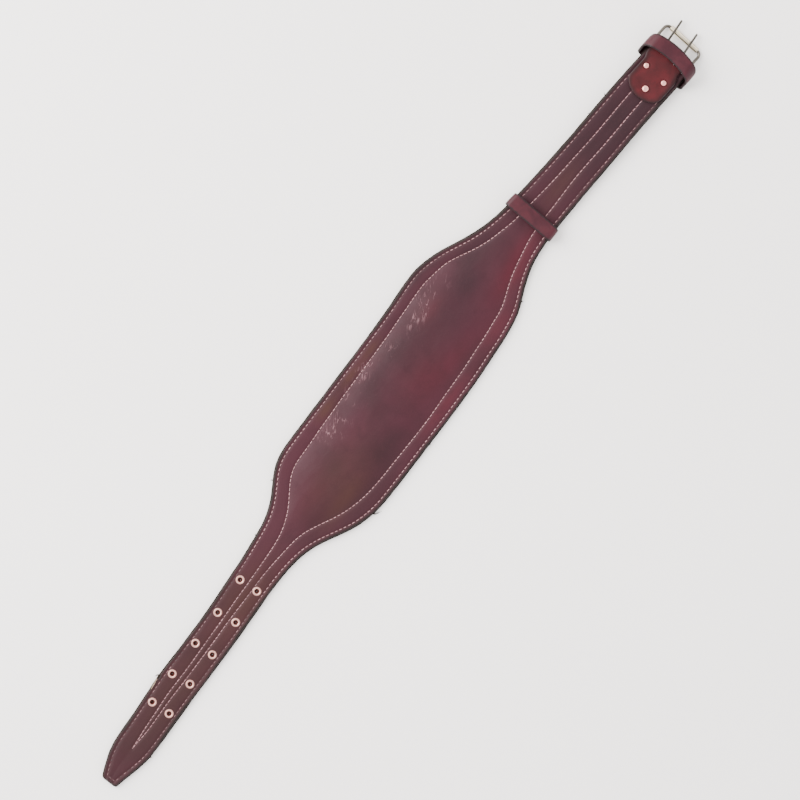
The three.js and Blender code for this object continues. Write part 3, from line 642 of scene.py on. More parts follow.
def make_face(material):
    """The padded face, with holes for the eyelets and rivets and what its material needs at each point."""
    upper, lower, facts = [], [], []
    for x in station_places(FACE_START, belt.end):
        ys = face_columns(x)
        row_facts = [face_facts(x, y) for y in ys]
        upper.append([Vector((x, y, face_top(x, y, fact))) for y, fact in zip(ys, row_facts)])
        lower.append([Vector((x, y, belt.face_floor(x))) for y in ys])
        facts.append(row_facts)
    vertices, faces, keys = Sheet(upper, lower, HOLES).build()
    attributes = {"edge": [], "seam": [], "pad": []}
    for i, j, skin in keys:
        fact = facts[i][j]
        attributes["edge"].append(0.0 if skin else fact["edge"] / MM)
        attributes["seam"].append(9.0 if skin else fact["seam"] / MM)
        attributes["pad"].append(0.0 if skin else fact["pad"])
    for kind in SPOTS:
        attributes[kind] = [spot_strength(kind, point.x, point.y) for point in vertices]
    piece = make("face_leather_skin", vertices, faces, "strap", material, ["face_leather"],
                 attributes)
    return piece


def make_lining(material):
    """The suede, a little proud of the face, with soft edges and room for the eyelets' washers."""
    shares = [0, 0.004, 0.012, 0.03, 0.06, 0.1, 0.16, 0.24, 0.32, 0.41, 0.5]
    shares += [1 - share for share in reversed(shares[:-1])]
    upper, lower = [], []
    for x in station_places(belt.start, belt.end):
        floor = belt.floor(x)
        edges = lining_edge(x, -1), lining_edge(x, 1)
        top_row, low_row = [], []
        for share in shares:
            y = lerp(edges[0], edges[1], share)
            rim = min(abs(y - edges[0]), abs(y - edges[1]), x - belt.start)
            soft = LINING_THICKNESS * 0.42
            rest = soft - min(rim, soft)
            pull = soft - math.sqrt(max(0, soft ** 2 - rest ** 2))
            top_row.append(Vector((x, y, floor + LINING_THICKNESS - pull)))
            low_row.append(Vector((x, y, floor + pull)))
        upper.append(top_row)
        lower.append(low_row)
    washers = hole_places(EYELETS, EYELET_WASHER_RADIUS + SEAT_GAP) + hole_places(RIVETS, RIVET_HOLE)
    vertices, faces, _ = Sheet(upper, lower, washers).build()
    return make("lining_suede", vertices, faces, "strap", material, ["lining"])


# Stitches

class Thread:
    """Collects stitches as small arched rods lying in their groove."""
    SIDES = 7
    RINGS = 6

    def __init__(self):
        self.vertices, self.faces, self.wear = [], [], []

    def stitch(self, start, end, up, wear):
        direction = (end - start).normalized()
        across = up.cross(direction).normalized()
        first = len(self.vertices)
        for ring in range(self.RINGS):
            t = ring / (self.RINGS - 1)
            lift = math.sin(math.pi * t)
            slim = 0.45 + 0.55 * math.sin(math.pi * clamp(t, 0.08, 0.92)) ** 0.5
            centre = start.lerp(end, t) + up * (STITCH_HALF_HEIGHT * (STITCH_ARCH * lift - STITCH_SINK))
            wide, high = slim * STITCH_HALF_WIDTH, slim * STITCH_HALF_HEIGHT
            self.vertices += oval(centre, across, up, wide, high, self.SIDES)
            self.wear += [wear] * self.SIDES
        for ring in range(self.RINGS - 1):
            for side in range(self.SIDES):
                here, there = first + ring * self.SIDES, first + (ring + 1) * self.SIDES
                k = (side + 1) % self.SIDES
                self.faces.append((here + side, here + k, there + k, there + side))
        last = first + (self.RINGS - 1) * self.SIDES
        self.faces.append(tuple(range(first + self.SIDES - 1, first - 1, -1)))
        self.faces.append(tuple(range(last, last + self.SIDES)))

    def row(self, path, up, size, wear_at):
        """Stitches along a path at their size's pitch and length, with wear_at giving each one's wear."""
        lengths = [0.0]
        for a, b in zip(path, path[1:]):
            lengths.append(lengths[-1] + (b - a).length)
        index = 0

        def at(s):
            nonlocal index
            while index < len(path) - 2 and lengths[index + 1] < s:
                index += 1
            share = (s - lengths[index]) / (lengths[index + 1] - lengths[index])
            return path[index].lerp(path[index + 1], share)

        begin = 0
        while begin < lengths[-1] - size["pitch"] * STRAP_STITCH_STRETCH:
            here = at(begin)
            on_strap = smoothstep(here.x, STRAP_START - STRAP_BLEND, STRAP_START + STRAP_BLEND)
            stretch = lerp(1, STRAP_STITCH_STRETCH, on_strap)
            length = size["length"] * stretch * random.uniform(0.9, 1.06)
            start, end = here, at(begin + length)
            begin += size["pitch"] * stretch
            slant = STITCH_SLANT + random.uniform(-STITCH_SLANT_SPREAD, STITCH_SLANT_SPREAD)
            across = up.cross(end - start).normalized() * slant
            wear = clamp(wear_at((start + end) / 2) + random.gauss(0.08, 0.12), 0, 1)
            self.stitch(start + across, end - across, up, wear)


def worn_at(row, side, x):
    """Share of dirt on the thread of a row, 0 to 1."""
    amount = 0
    for stretch in WORN:
        if stretch["row"] == row and stretch["side"] == side:
            start, end = stretch["start"] * MM, stretch["end"] * MM
            fade_in = smoothstep(x, start - WEAR_FADE, start + WEAR_FADE)
            fade_out = smoothstep(-x, -end - WEAR_FADE, -end + WEAR_FADE)
            amount = max(amount, stretch["amount"] * fade_in * fade_out)
    patchy = 0.5 + 0.9 * noise.noise(Vector((x * 60, side, 11 if row == "inner" else 23)))
    return amount * clamp(patchy + 0.35, 0, 1)


def row_path(row, under):
    """Points of a stitch row: along the upper side to the tip, round it, and back along the lower side."""
    step = 1 * MM
    first = belt.start + (OUTER_ROW_START if row == "outer" else INNER_ROW_START)
    last = belt.end - ROW_END_MARGIN
    count = int((last - first) / step)
    xs = [first + k * step for k in range(count + 1)]
    ends = {}
    for side in (1, -1):
        if row == "outer":
            ends[side] = [(x, belt.edge(x, side, OUTER_STITCH_INSET)) for x in xs]
        else:
            ends[side] = [(x, belt.inner_stitch(x, side)) for x in xs]
    high, low = ends[1][0][1], ends[-1][0][1]
    turn = [(first, lerp(high, low, k / 8)) for k in range(1, 8)]
    plan = ends[1][::-1] + turn + ends[-1]
    if under:
        return [Vector((x, y, belt.floor(x) + UNDERSIDE_STITCH_RISE)) for x, y in plan]
    return [Vector((x, y, face_top(x, y) + FACE_STITCH_RISE)) for x, y in plan]


def make_stitches(material):
    """Both stitch rows on the face, dirty where the belt is worn."""
    thread = Thread()
    for row in ("outer", "inner"):
        thread.row(row_path(row, False), Vector((0, 0, 1)), STITCHES[row],
                   lambda point, row=row: worn_at(row, 1 if point.y > belt.middle(point.x) else -1, point.x))
    return make("stitches_face", thread.vertices, thread.faces, "strap", material,
                attributes={"wear": thread.wear})


def make_underside_stitches(material):
    """The same rows as they show on the suede."""
    thread = Thread()
    for row in ("outer", "inner"):
        thread.row(row_path(row, True), Vector((0, 0, -1)), STITCHES[row], lambda point: UNDERSIDE_WEAR)
    return make("stitches_underside", thread.vertices, thread.faces, "strap", material,
                attributes={"wear": thread.wear})


def make_fibres(material):
    """Loose fibres at the lining's edge."""
    vertices, faces = [], []

    def strand(points):
        """One tapering fibre along its points."""
        rings = []
        for k, point in enumerate(points):
            ahead = points[min(k + 1, len(points) - 1)] - points[max(k - 1, 0)]
            across = ahead.cross(Vector((0, 0, 1))).normalized()
            over = ahead.cross(across).normalized()
            slim = FIBRE_RADIUS * (1 - 0.7 * k / (len(points) - 1))
            rings.append(oval(point, across, over, slim, slim, 4))
        new_vertices, new_faces = loft(rings, False)
        offset = len(vertices)
        vertices.extend(new_vertices)
        faces.extend(tuple(offset + v for v in face) for face in new_faces)

    for fibre in FIBRES:
        x, side, length = fibre["x"] * MM, fibre["side"], fibre["length"] * MM
        root = Vector((x, lining_edge(x, side) - side * 0.6 * MM, belt.floor(x) + LINING_THICKNESS * 0.6))
        for k in range(FIBRE_STRANDS):
            lean = fibre["lean"] + random.uniform(-0.5, 0.5)
            reach = length * random.uniform(0.6, 1)
            points = []
            for step in range(7):
                t = step / 6
                away = (lean * reach * t * t + k * 0.3 * MM, side * reach * t, -0.6 * MM * t * t)
                points.append(root + Vector(away))
            strand(points)
    return make("loose_fibres", vertices, faces, "strap", material)


def make_torn_strip(material):
    """Narrow strip of raw leather lifted off the dark border beside the torn place."""
    rings = []
    for k in range(15):
        t = k / 14
        x = lerp(TORN_STRIP["start"], TORN_STRIP["end"], t)
        inset = TORN_STRIP["inset"] - 0.9 * MM * t
        y = belt.edge(x, 1, inset)
        lift = (0.1 + 0.35 * math.sin(math.pi * t)) * MM
        centre = Vector((x, y, face_top(x, y) + lift))
        slim = 0.25 + 0.75 * math.sin(math.pi * clamp(t, 0.04, 0.96)) ** 0.5
        wide, high = slim * TORN_STRIP["half_width"], slim * TORN_STRIP["half_height"]
        rings.append(oval(centre, Vector((0, 1, 0)), Vector((0, 0, 1)), wide, high, 8))
    vertices, faces = loft(rings, False)
    return make("torn_edge_strip", vertices, faces, "strap", material)


# Keepers

def wrap_path(half, height, top_corner, floor_corner, corner_steps=9, straight_steps=8):
    """Once round a strap: y, z and the outward direction of each point."""
    corners = [(1, 1, 0), (-1, 1, 90), (-1, -1, 180), (1, -1, 270)]
    path = []
    for side, up, start in corners:
        radius = top_corner if up > 0 else floor_corner
        centre_z = height - radius if up > 0 else radius
        for step in range(corner_steps + 1):
            angle = math.radians(start + 90 * step / corner_steps)
            out = (math.cos(angle), math.sin(angle))
            path.append((side * (half - radius) + radius * out[0], centre_z + radius * out[1], out))
    full = []
    for k, (y, z, out) in enumerate(path):
        full.append((y, z, out))
        next_y, next_z, _ = path[(k + 1) % len(path)]
        if (k + 1) % (corner_steps + 1) == 0:
            for step in range(1, straight_steps):
                share = step / straight_steps
                full.append((lerp(y, next_y, share), lerp(z, next_z, share), out))
    return full


def band_section(breadth, thickness, corner):
    """Offset along and depth inward of the points round a strip's cut end."""
    points = []
    for side, deep, start in ((1, False, 0), (-1, False, 90), (-1, True, 180), (1, True, 270)):
        for step in range(4):
            angle = math.radians(start + 30 * step)
            along = side * (breadth / 2 - corner) + corner * math.cos(angle)
            depth = (thickness - corner if deep else corner) - corner * math.sin(angle)
            crown = 0 if deep else KEEPER_CROWN * (1 - (2 * along / breadth) ** 2)
            points.append((along, depth - crown))
        if side > 0 and not deep:
            for share in (0.3, 0.15, 0, -0.15, -0.3):
                points.append((share * breadth, -KEEPER_CROWN * (1 - 4 * share * share)))
    return points


def make_keeper_band(material):
    """Low keeper that hugs the strap, its ends following the strap's edges."""
    low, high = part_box("keeper_band")
    centre = (low[0] + high[0]) / 2
    half = belt.width(centre) / 2 + LAYER_GAP + BAND_THICKNESS
    back, front = centre - BAND_BREADTH / 2, centre + BAND_BREADTH / 2
    slope = (belt.middle(front) - belt.middle(back)) / BAND_BREADTH
    rings, edge = [], []
    for y, z, out in wrap_path(half, high[2], BAND_CORNER, BAND_CORNER / 2):
        breadth = BAND_BREADTH - 2 * BAND_SIDE_NARROWING * abs(out[0])
        ring = []
        for along, depth in band_section(breadth, BAND_THICKNESS, 0.6 * MM):
            x = centre + along - slope * y
            spread = (belt.width(centre + along) / 2 + LAYER_GAP + BAND_THICKNESS) / half
            height = max(0, z - depth * out[1])
            ring.append(Vector((x, belt.middle(centre + along) + y * spread - depth * out[0], height)))
            edge.append((breadth / 2 - abs(along)) / MM)
        rings.append(ring)
    vertices, faces = loft(rings, True)
    return make("keeper_band_leather", vertices, faces, "strap", material, ["keeper_band"],
                {"edge": edge})


JOINTS = {joint["name"]: joint for joint in frame["joints"]}
BAR = Vector(JOINTS["frame_swing"]["pos_m"])
BAR_AXIS = -Vector(JOINTS["frame_swing"]["axis"])
END = Matrix.Translation(BAR) @ Matrix.Rotation(-math.asin(BAR_AXIS.x / BAR_AXIS.length), 4, "Z")
FRAME_DROP = math.asin((BAR.z - ROLLER_RADIUS) / FRAME_LENGTH)
PRONG_LIFT = math.asin((ROLLER_RADIUS + SEAT_GAP + PRONG_RADIUS - PRONG_EYE_RADIUS) / FRAME_LENGTH)


def make_keeper_loop(material):
    """Standing keeper, leaning from under the strap up to the heel bar and bowed across the top."""
    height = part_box("keeper_loop")[1][2]
    rings, edge = [], []
    for y, z, out in wrap_path(LOOP_HALF, height, LOOP_TOP_CORNER, LOOP_FLOOR_CORNER, 12, 12):
        rise = smoothstep(z, 0, height)
        middle = lerp(LOOP_FLOOR_PLACE, LOOP_TOP_PLACE, rise) - LOOP_BOW * rise * (y / LOOP_HALF) ** 2
        breadth = lerp(LOOP_FLOOR_BREADTH, LOOP_BREADTH, rise)
        ring = []
        for along, depth in band_section(breadth, LOOP_THICKNESS, 0.75 * MM):
            local = Vector((middle + along, y - depth * out[0], max(0, z - depth * out[1]) - BAR.z))
            ring.append(END @ local)
            edge.append((breadth / 2 - abs(along)) / MM)
        rings.append(ring)
    vertices, faces = loft(rings, True)
    return make("keeper_loop_leather", vertices, faces, "strap", material, ["keeper_loop"],
                {"edge": edge})


# Tab

def tab_half_and_middle(x):
    end = -TAB_LENGTH + TAB_END_DEPTH
    share = clamp((end - x) / TAB_END_DEPTH, 0, 1)
    half = TAB_WIDTH / 2 * math.sqrt(max(0, 1 - share ** 2))
    return half, lerp(TAB_OFFSET, FRAME_OFFSET, smoothstep(x, TAB_SHIFT_START, TAB_SHIFT_END))


def tab_stations():
    """Along the folded tab from the upper ply's end to the lower one's: x, z and the outward direction."""
    radius = FOLD_INNER + TAB_THICKNESS / 2
    end = -TAB_LENGTH + TAB_END_DEPTH
    xs = [end - TAB_END_DEPTH * math.cos(math.pi / 2 * k / 14) for k in range(14)]
    xs += [lerp(end, SLOT_BACK, k / 24) for k in range(25)]
    xs += [lerp(SLOT_BACK, 0, k / 5) for k in range(1, 5)]
    stations = [(x, radius, (0, 1)) for x in xs]
    for k in range(17):
        angle = math.radians(90 - 180 * k / 16)
        out = (math.cos(angle), math.sin(angle))
        stations.append((radius * out[0], radius * out[1], out))
    return stations + [(x, -radius, (0, -1)) for x in reversed(xs)]


def tab_shares():
    """Places across the tab as shares of its half width, with lines along the edges of both prong slots."""
    shares = {-1, -0.985, -0.96, -0.93, -0.88, 0.88, 0.93, 0.96, 0.985, 1}
    shares.update(-0.8 + 0.1 * k for k in range(17))
    slots = []
    for y in (PRONG_MIDDLE + ROW_SPACING / 2, PRONG_MIDDLE - ROW_SPACING / 2):
        sides = [(y + sign * SLOT_WIDTH / 2 - FRAME_OFFSET) / (TAB_WIDTH / 2) for sign in (-1, 1)]
        slots.append(sides)
        shares = {share for share in shares if all(abs(share - side) > 0.03 for side in sides)}
        shares.update(sides)
    return sorted(shares), slots


def make_tab(material):
    """Folded tab with a slot in the fold for each prong and a dent round each rivet."""
    shares, slots = tab_shares()
    stations = tab_stations()
    rivets = [(END.inverted() @ Vector((x, y, 0))) for x, y, _ in hole_places(RIVETS, 0)]
    end = -TAB_LENGTH + TAB_END_DEPTH
    outer, inner, facts = [], [], []
    for x, z, out in stations:
        half, middle = tab_half_and_middle(x)
        outer_row, inner_row, fact_row = [], [], []
        for share in shares:
            y = middle + half * share
            radial = math.hypot(max(0, (end - x) / TAB_END_DEPTH), (y - middle) / (TAB_WIDTH / 2))
            rim = min(1 - radial, 1 - abs(share)) * TAB_WIDTH / 2 if x < end else (1 - abs(share)) * half
            rest = TAB_EDGE_ROUND - clamp(rim, 0, TAB_EDGE_ROUND)
            thick = TAB_THICKNESS / 2 * math.sqrt(max(0, 1 - (rest / TAB_EDGE_ROUND) ** 2))
            dent = sum(TAB_DENT * math.exp(-((x - r.x) ** 2 + (y - r.y) ** 2) / TAB_DENT_REACH ** 2)
                       for r in rivets)
            swell = 0.12 * MM * noise.noise(Vector((x * 90, y * 90, 2)))
            over = thick - (dent - swell if z > 0 else 0) * min(1, rim / (2 * MM))
            outer_row.append(END @ Vector((x + out[0] * over, y, z + out[1] * over)))
            inner_row.append(END @ Vector((x - out[0] * thick, y, z - out[1] * thick)))
            fact_row.append(max(0, rim))
        outer.append(outer_row)
        inner.append(inner_row)
        facts.append(fact_row)
    sheet = Sheet(outer, inner)
    for i, (x, _, _) in enumerate(stations[:-1]):
        in_fold = x >= SLOT_BACK - 1e-9 and stations[i + 1][0] >= SLOT_BACK - 1e-9
        for j in range(len(shares) - 1):
            middle = (shares[j] + shares[j + 1]) / 2
            if in_fold and any(side[0] < middle < side[1] for side in slots):
                sheet.gone.add((i, j))
    vertices, faces, keys = sheet.build()
    edge = [facts[i][j] / MM if skin == 0 else 0.0 for i, j, skin in keys]
    return make("tab_leather", vertices, faces, "strap", material, ["tab"], {"edge": edge})


# Metal pieces

def eyelet_shade(radius):
    """Share of dark colour at a radius: full in the bore as painted shade, some round the rim's outer foot.
    """
    inner = 1 - smoothstep(radius, EYELET_BORE * 1.1, EYELET_BORE * 1.28)
    outer = 0.75 * smoothstep(radius, EYELET_RADIUS * 0.77, EYELET_RADIUS * 0.95)
    return max(inner, outer)


def make_eyelets(material):
    for index, name in enumerate(EYELETS, 1):
        centre, height = foot_and_height(name)
        seat = height - EYELET_RIM
        barrel = EYELET_BORE + EYELET_WALL
        crest = (EYELET_RADIUS + EYELET_BORE) / 2
        profile = [
            (EYELET_FOOT_BORE, 0),
            (EYELET_WASHER_RADIUS, 0),
            (EYELET_WASHER_RADIUS, EYELET_WASHER_HEIGHT),
            (barrel, EYELET_WASHER_HEIGHT),
            (barrel, seat),
        ]
        profile += arc(crest, seat, EYELET_RADIUS - crest, EYELET_RIM, 0, 180, 12)
        profile += [(EYELET_BORE, seat - 0.8 * MM), (EYELET_FOOT_BORE, seat / 2)]
        vertices, faces = turned(profile, centre)
        bore = [eyelet_shade(math.hypot(v.x - centre.x, v.y - centre.y)) for v in vertices]
        make(f"eyelet_ring_{index}", vertices, faces, "strap", material, [name],
             {"bore": bore})


def make_rivets(material):
    for index, name in enumerate(RIVETS, 1):
        low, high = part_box(name)
        centre, height = foot_and_height(name)
        radius = (high[0] - low[0]) / 2 * RIVET_DOME_SHARE
        size = radius / (RIVET_RADIUS * RIVET_DOME_SHARE)
        seat = height - RIVET_DOME
        cap = RIVET_CAP_RADIUS * size
        profile = [
            (0, 0),
            (cap, 0),
            (cap, RIVET_CAP_HEIGHT),
            (RIVET_SHANK, RIVET_CAP_HEIGHT),
            (RIVET_SHANK, seat),
            (radius * 0.98, seat),
        ]
        profile += arc(radius * 0.55, seat + 0.25 * MM, radius * 0.45, RIVET_DOME - 0.25 * MM, -12, 90, 8)
        profile += arc(0, seat + RIVET_DOME - 0.5 * MM, radius * 0.45, 0.35 * MM, 70, 90, 4)
        vertices, faces = turned(profile, centre)
        make(f"rivet_dome_{index}", vertices, faces, "strap", material, [name],
             {"bore": [0.0] * len(vertices)})


def framed(point, drop):
    """A point of the buckle in the row frame, from its own flat frame tilted down by drop."""
    return END @ (Matrix.Rotation(drop, 4, "Y") @ point)


def make_buckle_frame(material):
    """The wire frame with its heel bar and its outer bar, rounded at the four corners."""
    half = FRAME_INNER_WIDTH / 2 + FRAME_WIRE_RADIUS
    front = FRAME_LENGTH - FRAME_FRONT_CORNER
    corners = [
        (front, half - FRAME_FRONT_CORNER, FRAME_FRONT_CORNER, 0),
        (FRAME_HEEL_CORNER, half - FRAME_HEEL_CORNER, FRAME_HEEL_CORNER, 90),
        (FRAME_HEEL_CORNER, FRAME_HEEL_CORNER - half, FRAME_HEEL_CORNER, 180),
        (front, FRAME_FRONT_CORNER - half, FRAME_FRONT_CORNER, 270),
    ]
    rings = []
    for x, y, radius, start in corners:
        for step in range(13):
            angle = math.radians(start + 90 * step / 12)
            out = Vector((math.cos(angle), math.sin(angle), 0))
            centre = Vector((x, FRAME_OFFSET + y, 0)) + out * radius
            ring = oval(centre, out, Vector((0, 0, -1)), FRAME_WIRE_RADIUS, FRAME_WIRE_RADIUS, 18)
            rings.append([framed(point, FRAME_DROP) for point in ring])
    vertices, faces = loft(rings, True)
    return make("buckle_wire_frame", vertices, faces, "frame", material, ["buckle_frame"])


def make_roller(material):
    """A tube rolled from sheet: rounded ends, a sunken seam along its inner side painted dark as shade, and a
    painted shade line along its outer side.
    """
    half = FRAME_INNER_WIDTH / 2 + FRAME_WIRE_RADIUS - FRAME_FRONT_CORNER
    bore = ROLLER_RADIUS - ROLLER_WALL
    round_off = ROLLER_WALL / 2
    profile = arc(half - round_off, ROLLER_RADIUS - round_off, round_off, round_off, 90, -90, 6)
    profile += arc(round_off - half, ROLLER_RADIUS - round_off, round_off, round_off, 270, 90, 6)
    rings, painted_shade = [], []
    for k in range(ROLLER_SIDES):
        angle = 2 * math.pi * k / ROLLER_SIDES
        sunk = ROLLER_SEAM_DEPTH if k in ROLLER_SEAM else 0
        shade_line = ROLLER_SHADE_STRENGTH if k in ROLLER_SHADE else 0.0
        painted_shade += [1.0 if sunk else shade_line] * len(profile)
        ring = []
        for along, radius in profile:
            reach = max(radius - sunk, bore)
            out, over = reach * math.cos(angle), reach * math.sin(angle)
            ring.append(framed(Vector((FRAME_LENGTH + out, FRAME_OFFSET + along, over)), FRAME_DROP))
        rings.append(ring)
    vertices, faces = loft(rings, True)
    return make("buckle_roller", vertices, faces, "roller", material, ["roller"],
                {"seam": painted_shade})


def catmull(points, steps):
    """Smooth chain through points, with steps parts between each two."""
    chain = []
    for k in range(len(points) - 1):
        p0, p1, p2, p3 = points[max(k - 1, 0)], points[k], points[k + 1], points[min(k + 2, len(points) - 1)]
        for step in range(steps):
            t = step / steps
            chain.append(0.5 * (2 * p1 + (p2 - p0) * t + (2 * p0 - 5 * p1 + 4 * p2 - p3) * t ** 2
                                + (3 * p1 - p0 - 3 * p2 + p3) * t ** 3))
    return chain + [points[-1]]


def make_prong(name, y, material):
    """A wire from its eye round the heel bar, over the roller to a tip that bends down."""
    points = []
    for step in range(25):
        angle = math.radians(lerp(-8, -270, step / 24))
        points.append(Vector((PRONG_EYE_RADIUS * math.cos(angle), 0, PRONG_EYE_RADIUS * math.sin(angle))))
    bend = FRAME_LENGTH + ROLLER_RADIUS
    for share in (0.25, 0.5, 0.75, 1):
        points.append(Vector((bend * share, 0, PRONG_EYE_RADIUS)))
    for share in (0.35, 0.7, 1):
        height = PRONG_EYE_RADIUS - PRONG_TIP_DROP * share ** 2
        points.append(Vector((lerp(bend, PRONG_LENGTH, share), 0, height)))
    chain = catmull(points, 3)
    rings = []
    total = len(chain) - 1
    for k, point in enumerate(chain):
        ahead = (chain[min(k + 1, total)] - chain[max(k - 1, 0)]).normalized()
        up = Vector((ahead.z, 0, -ahead.x))
        from_tip = (chain[total] - point).length
        slim = math.sqrt(max(0.02, 1 - (1 - min(from_tip / (1.2 * MM), 1)) ** 2))
        if k < 2:
            slim = 0.75 + 0.125 * k
        thick = PRONG_RADIUS * slim
        ring = []
        for local in oval(point, up, Vector((0, 1, 0)), thick, thick, 14):
            local.y += y + local.x * PRONG_SKEW
            ring.append(framed(local, FRAME_DROP - PRONG_LIFT))
        rings.append(ring)
    vertices, faces = loft(rings, False)
    return make(name + "_wire", vertices, faces, name, material, [name])


# Materials

def rgb(code):
    """Linear colour of an sRGB hex code."""
    parts = [int(code[k:k + 2], 16) / 255 for k in (1, 3, 5)]
    linear = [part / 12.92 if part <= 0.04045 else ((part + 0.055) / 1.055) ** 2.4 for part in parts]
    return (*linear, 1.0)


class Shader:
    """A material with a few short ways to add and link nodes."""

    def __init__(self, name):
        self.material = bpy.data.materials.new(name)
        self.material.use_nodes = True
        self.tree = self.material.node_tree
        self.surface = self.tree.nodes["Principled BSDF"]
        self.place = self.add("TexCoord").outputs["Object"]

    def add(self, kind, inputs=None, **settings):
        node = self.tree.nodes.new("ShaderNode" + kind)
        for key, value in settings.items():
            setattr(node, key, value)
        for key, value in (inputs or {}).items():
            self.put(node, key, value)
        return node

    def put(self, node, key, value):
        if isinstance(value, bpy.types.NodeSocket):
            self.tree.links.new(value, node.inputs[key])
        else:
            node.inputs[key].default_value = value

    def attribute(self, name):
        return self.add("Attribute", attribute_name=name).outputs["Fac"]

    def calc(self, operation, a, b=0.0, clamped=False):
        return self.add("Math", {0: a, 1: b}, operation=operation, use_clamp=clamped).outputs[0]

    def fit(self, value, low, high, to_low=0.0, to_high=1.0):
        inputs = {"Value": value, "From Min": low, "From Max": high, "To Min": to_low, "To Max": to_high}
        return self.add("MapRange", inputs, interpolation_type="SMOOTHSTEP").outputs["Result"]

    def blend(self, factor, a, b):
        return self.add("Mix", {0: factor, 6: a, 7: b}, data_type="RGBA").outputs[2]

    def stretched(self, fineness, turn=0.0):
        """Object coordinates turned to lie along a direction, then scaled by a fineness for each axis."""
        scale = tuple(1 / value for value in fineness)
        inputs = {"Vector": self.place, "Scale": scale, "Rotation": (0, 0, turn)}
        return self.add("Mapping", inputs, vector_type="TEXTURE").outputs["Vector"]

    def noise(self, scale, detail=3.0, roughness=0.55, distortion=0.0, vector=None):
        inputs = {"Vector": vector or self.place, "Scale": scale, "Detail": detail, "Roughness": roughness,
                  "Distortion": distortion}
        return self.add("TexNoise", inputs).outputs["Fac"]

    def cells(self, scale, feature="DISTANCE_TO_EDGE", vector=None):
        node = self.add("TexVoronoi", {"Vector": vector or self.place, "Scale": scale}, feature=feature)
        return node.outputs["Distance"]

    def bump(self, height, strength, distance, normal=None):
        inputs = {"Height": height, "Strength": strength, "Distance": distance}
        if normal:
            inputs["Normal"] = normal
        return self.add("Bump", inputs).outputs["Normal"]

    def finish(self, **inputs):
        for key, value in inputs.items():
            self.put(self.surface, key.replace("_", " "), value)
        return self.material


def leather_grain(s, strength=0.35):
    """Fine pebble grain with pores, as a normal."""
    shift = s.add("VectorMath", {0: s.noise(260, 2), "Scale": 0.0009}, operation="SCALE").outputs[0]
    warped = s.add("VectorMath", {0: s.place, 1: shift}, operation="ADD").outputs[0]
    pebble = s.fit(s.cells(780, vector=warped), 0.0, 0.25)
    pores = s.noise(2600, 2, 0.6)
    grain = s.bump(pebble, strength * 0.7, 0.00016)
    return s.bump(pores, strength * 0.5, 0.00012, grain)


def face_material():
    """Burgundy leather: soft colour spots (one dark spot is painted shade), mottling, creases with painted
    sheen and highlight streaks, stitch grooves darkened as painted shade, and a dark worn border.
    """
    s = Shader("burgundy_face_leather")
    edge, seam, pad = s.attribute("edge"), s.attribute("seam"), s.attribute("pad")
    clouds = s.noise(14, 3, 0.5, 0.6)
    mottle = s.noise(60, 4, 0.6)
    fine = s.noise(420, 3, 0.6)
    colour = s.blend(s.fit(clouds, 0.35, 0.65), rgb("#2c1118"), rgb("#36151e"))
    for kind, share, code in (("dark", 0.68, "#1c0c11"), ("red", 0.5, "#450e1a"), ("brown", 0.75, "#3a2119")):
        colour = s.blend(s.calc("MULTIPLY", s.attribute(kind), share), colour, rgb(code))
    colour = s.blend(s.fit(mottle, 0.5, 0.8, 0.0, 0.35), colour, rgb("#260d14"))
    colour = s.blend(s.fit(fine, 0.5, 0.85, 0.0, 0.25), colour, rgb("#3b1b20"))
    crease_and_sheen = s.attribute("crease_and_sheen")
    wrinkle = s.noise(1.0, 2, 0.5, 0.7, s.stretched((80, 330, 80), math.radians(32)))
    ridges = s.fit(s.calc("ABSOLUTE", s.calc("SUBTRACT", wrinkle, 0.5)), 0.0, 0.05, 1.0, 0.0)
    sparse = s.fit(s.noise(1.0, 2, 0.5, 0.0, s.stretched((70, 120, 70), math.radians(32))), 0.5, 0.6)
    wrinkle_ridges_and_glints = s.calc("MULTIPLY", s.calc("MULTIPLY", ridges, sparse), crease_and_sheen)
    # Painted sheen: lighter colour on the crease patches, and painted highlight streaks along the wrinkle
    # ridges
    colour = s.blend(s.calc("MULTIPLY", crease_and_sheen, 0.2), colour, rgb("#4a2c31"))
    colour = s.blend(s.calc("MULTIPLY", wrinkle_ridges_and_glints, 0.8), colour, rgb("#8c666b"))
    # Painted shade: the face is darker along the stitch grooves
    near_seam = s.fit(seam, 0.25, 1.2, 0.55, 0.0)
    colour = s.blend(near_seam, colour, rgb("#3a2023"))
    ragged_fine = s.fit(s.noise(300, 3), 0.3, 0.7, -0.4, 0.4)
    ragged_broad = s.fit(s.noise(22, 2), 0.35, 0.65, -0.7, 0.7)
    uneven = s.calc("ADD", ragged_fine, ragged_broad)
    ragged = s.calc("ADD", edge, uneven)
    colour = s.blend(s.fit(ragged, 0.9, 3.6, 0.55, 0.0), colour, rgb("#1e1211"))
    colour = s.blend(s.fit(ragged, 0.2, 1.35, 0.9, 0.0), colour, rgb("#160e0b"))
    normal = leather_grain(s)
    wavy = s.noise(1.0, 3, 0.5, 0.8, s.stretched((38, 75, 40), math.radians(-8)))
    normal = s.bump(wavy, s.fit(pad, 0.0, 0.3, 0.12, 0.3), 0.0012, normal)
    normal = s.bump(wrinkle_ridges_and_glints, 0.8, 0.0005, normal)
    roughness = s.fit(mottle, 0.3, 0.75, 0.5, 0.64)
    return s.finish(Base_Color=colour, Roughness=roughness, Normal=normal, Specular_IOR_Level=0.16,
                    Coat_Weight=0.02, Coat_Roughness=0.35)


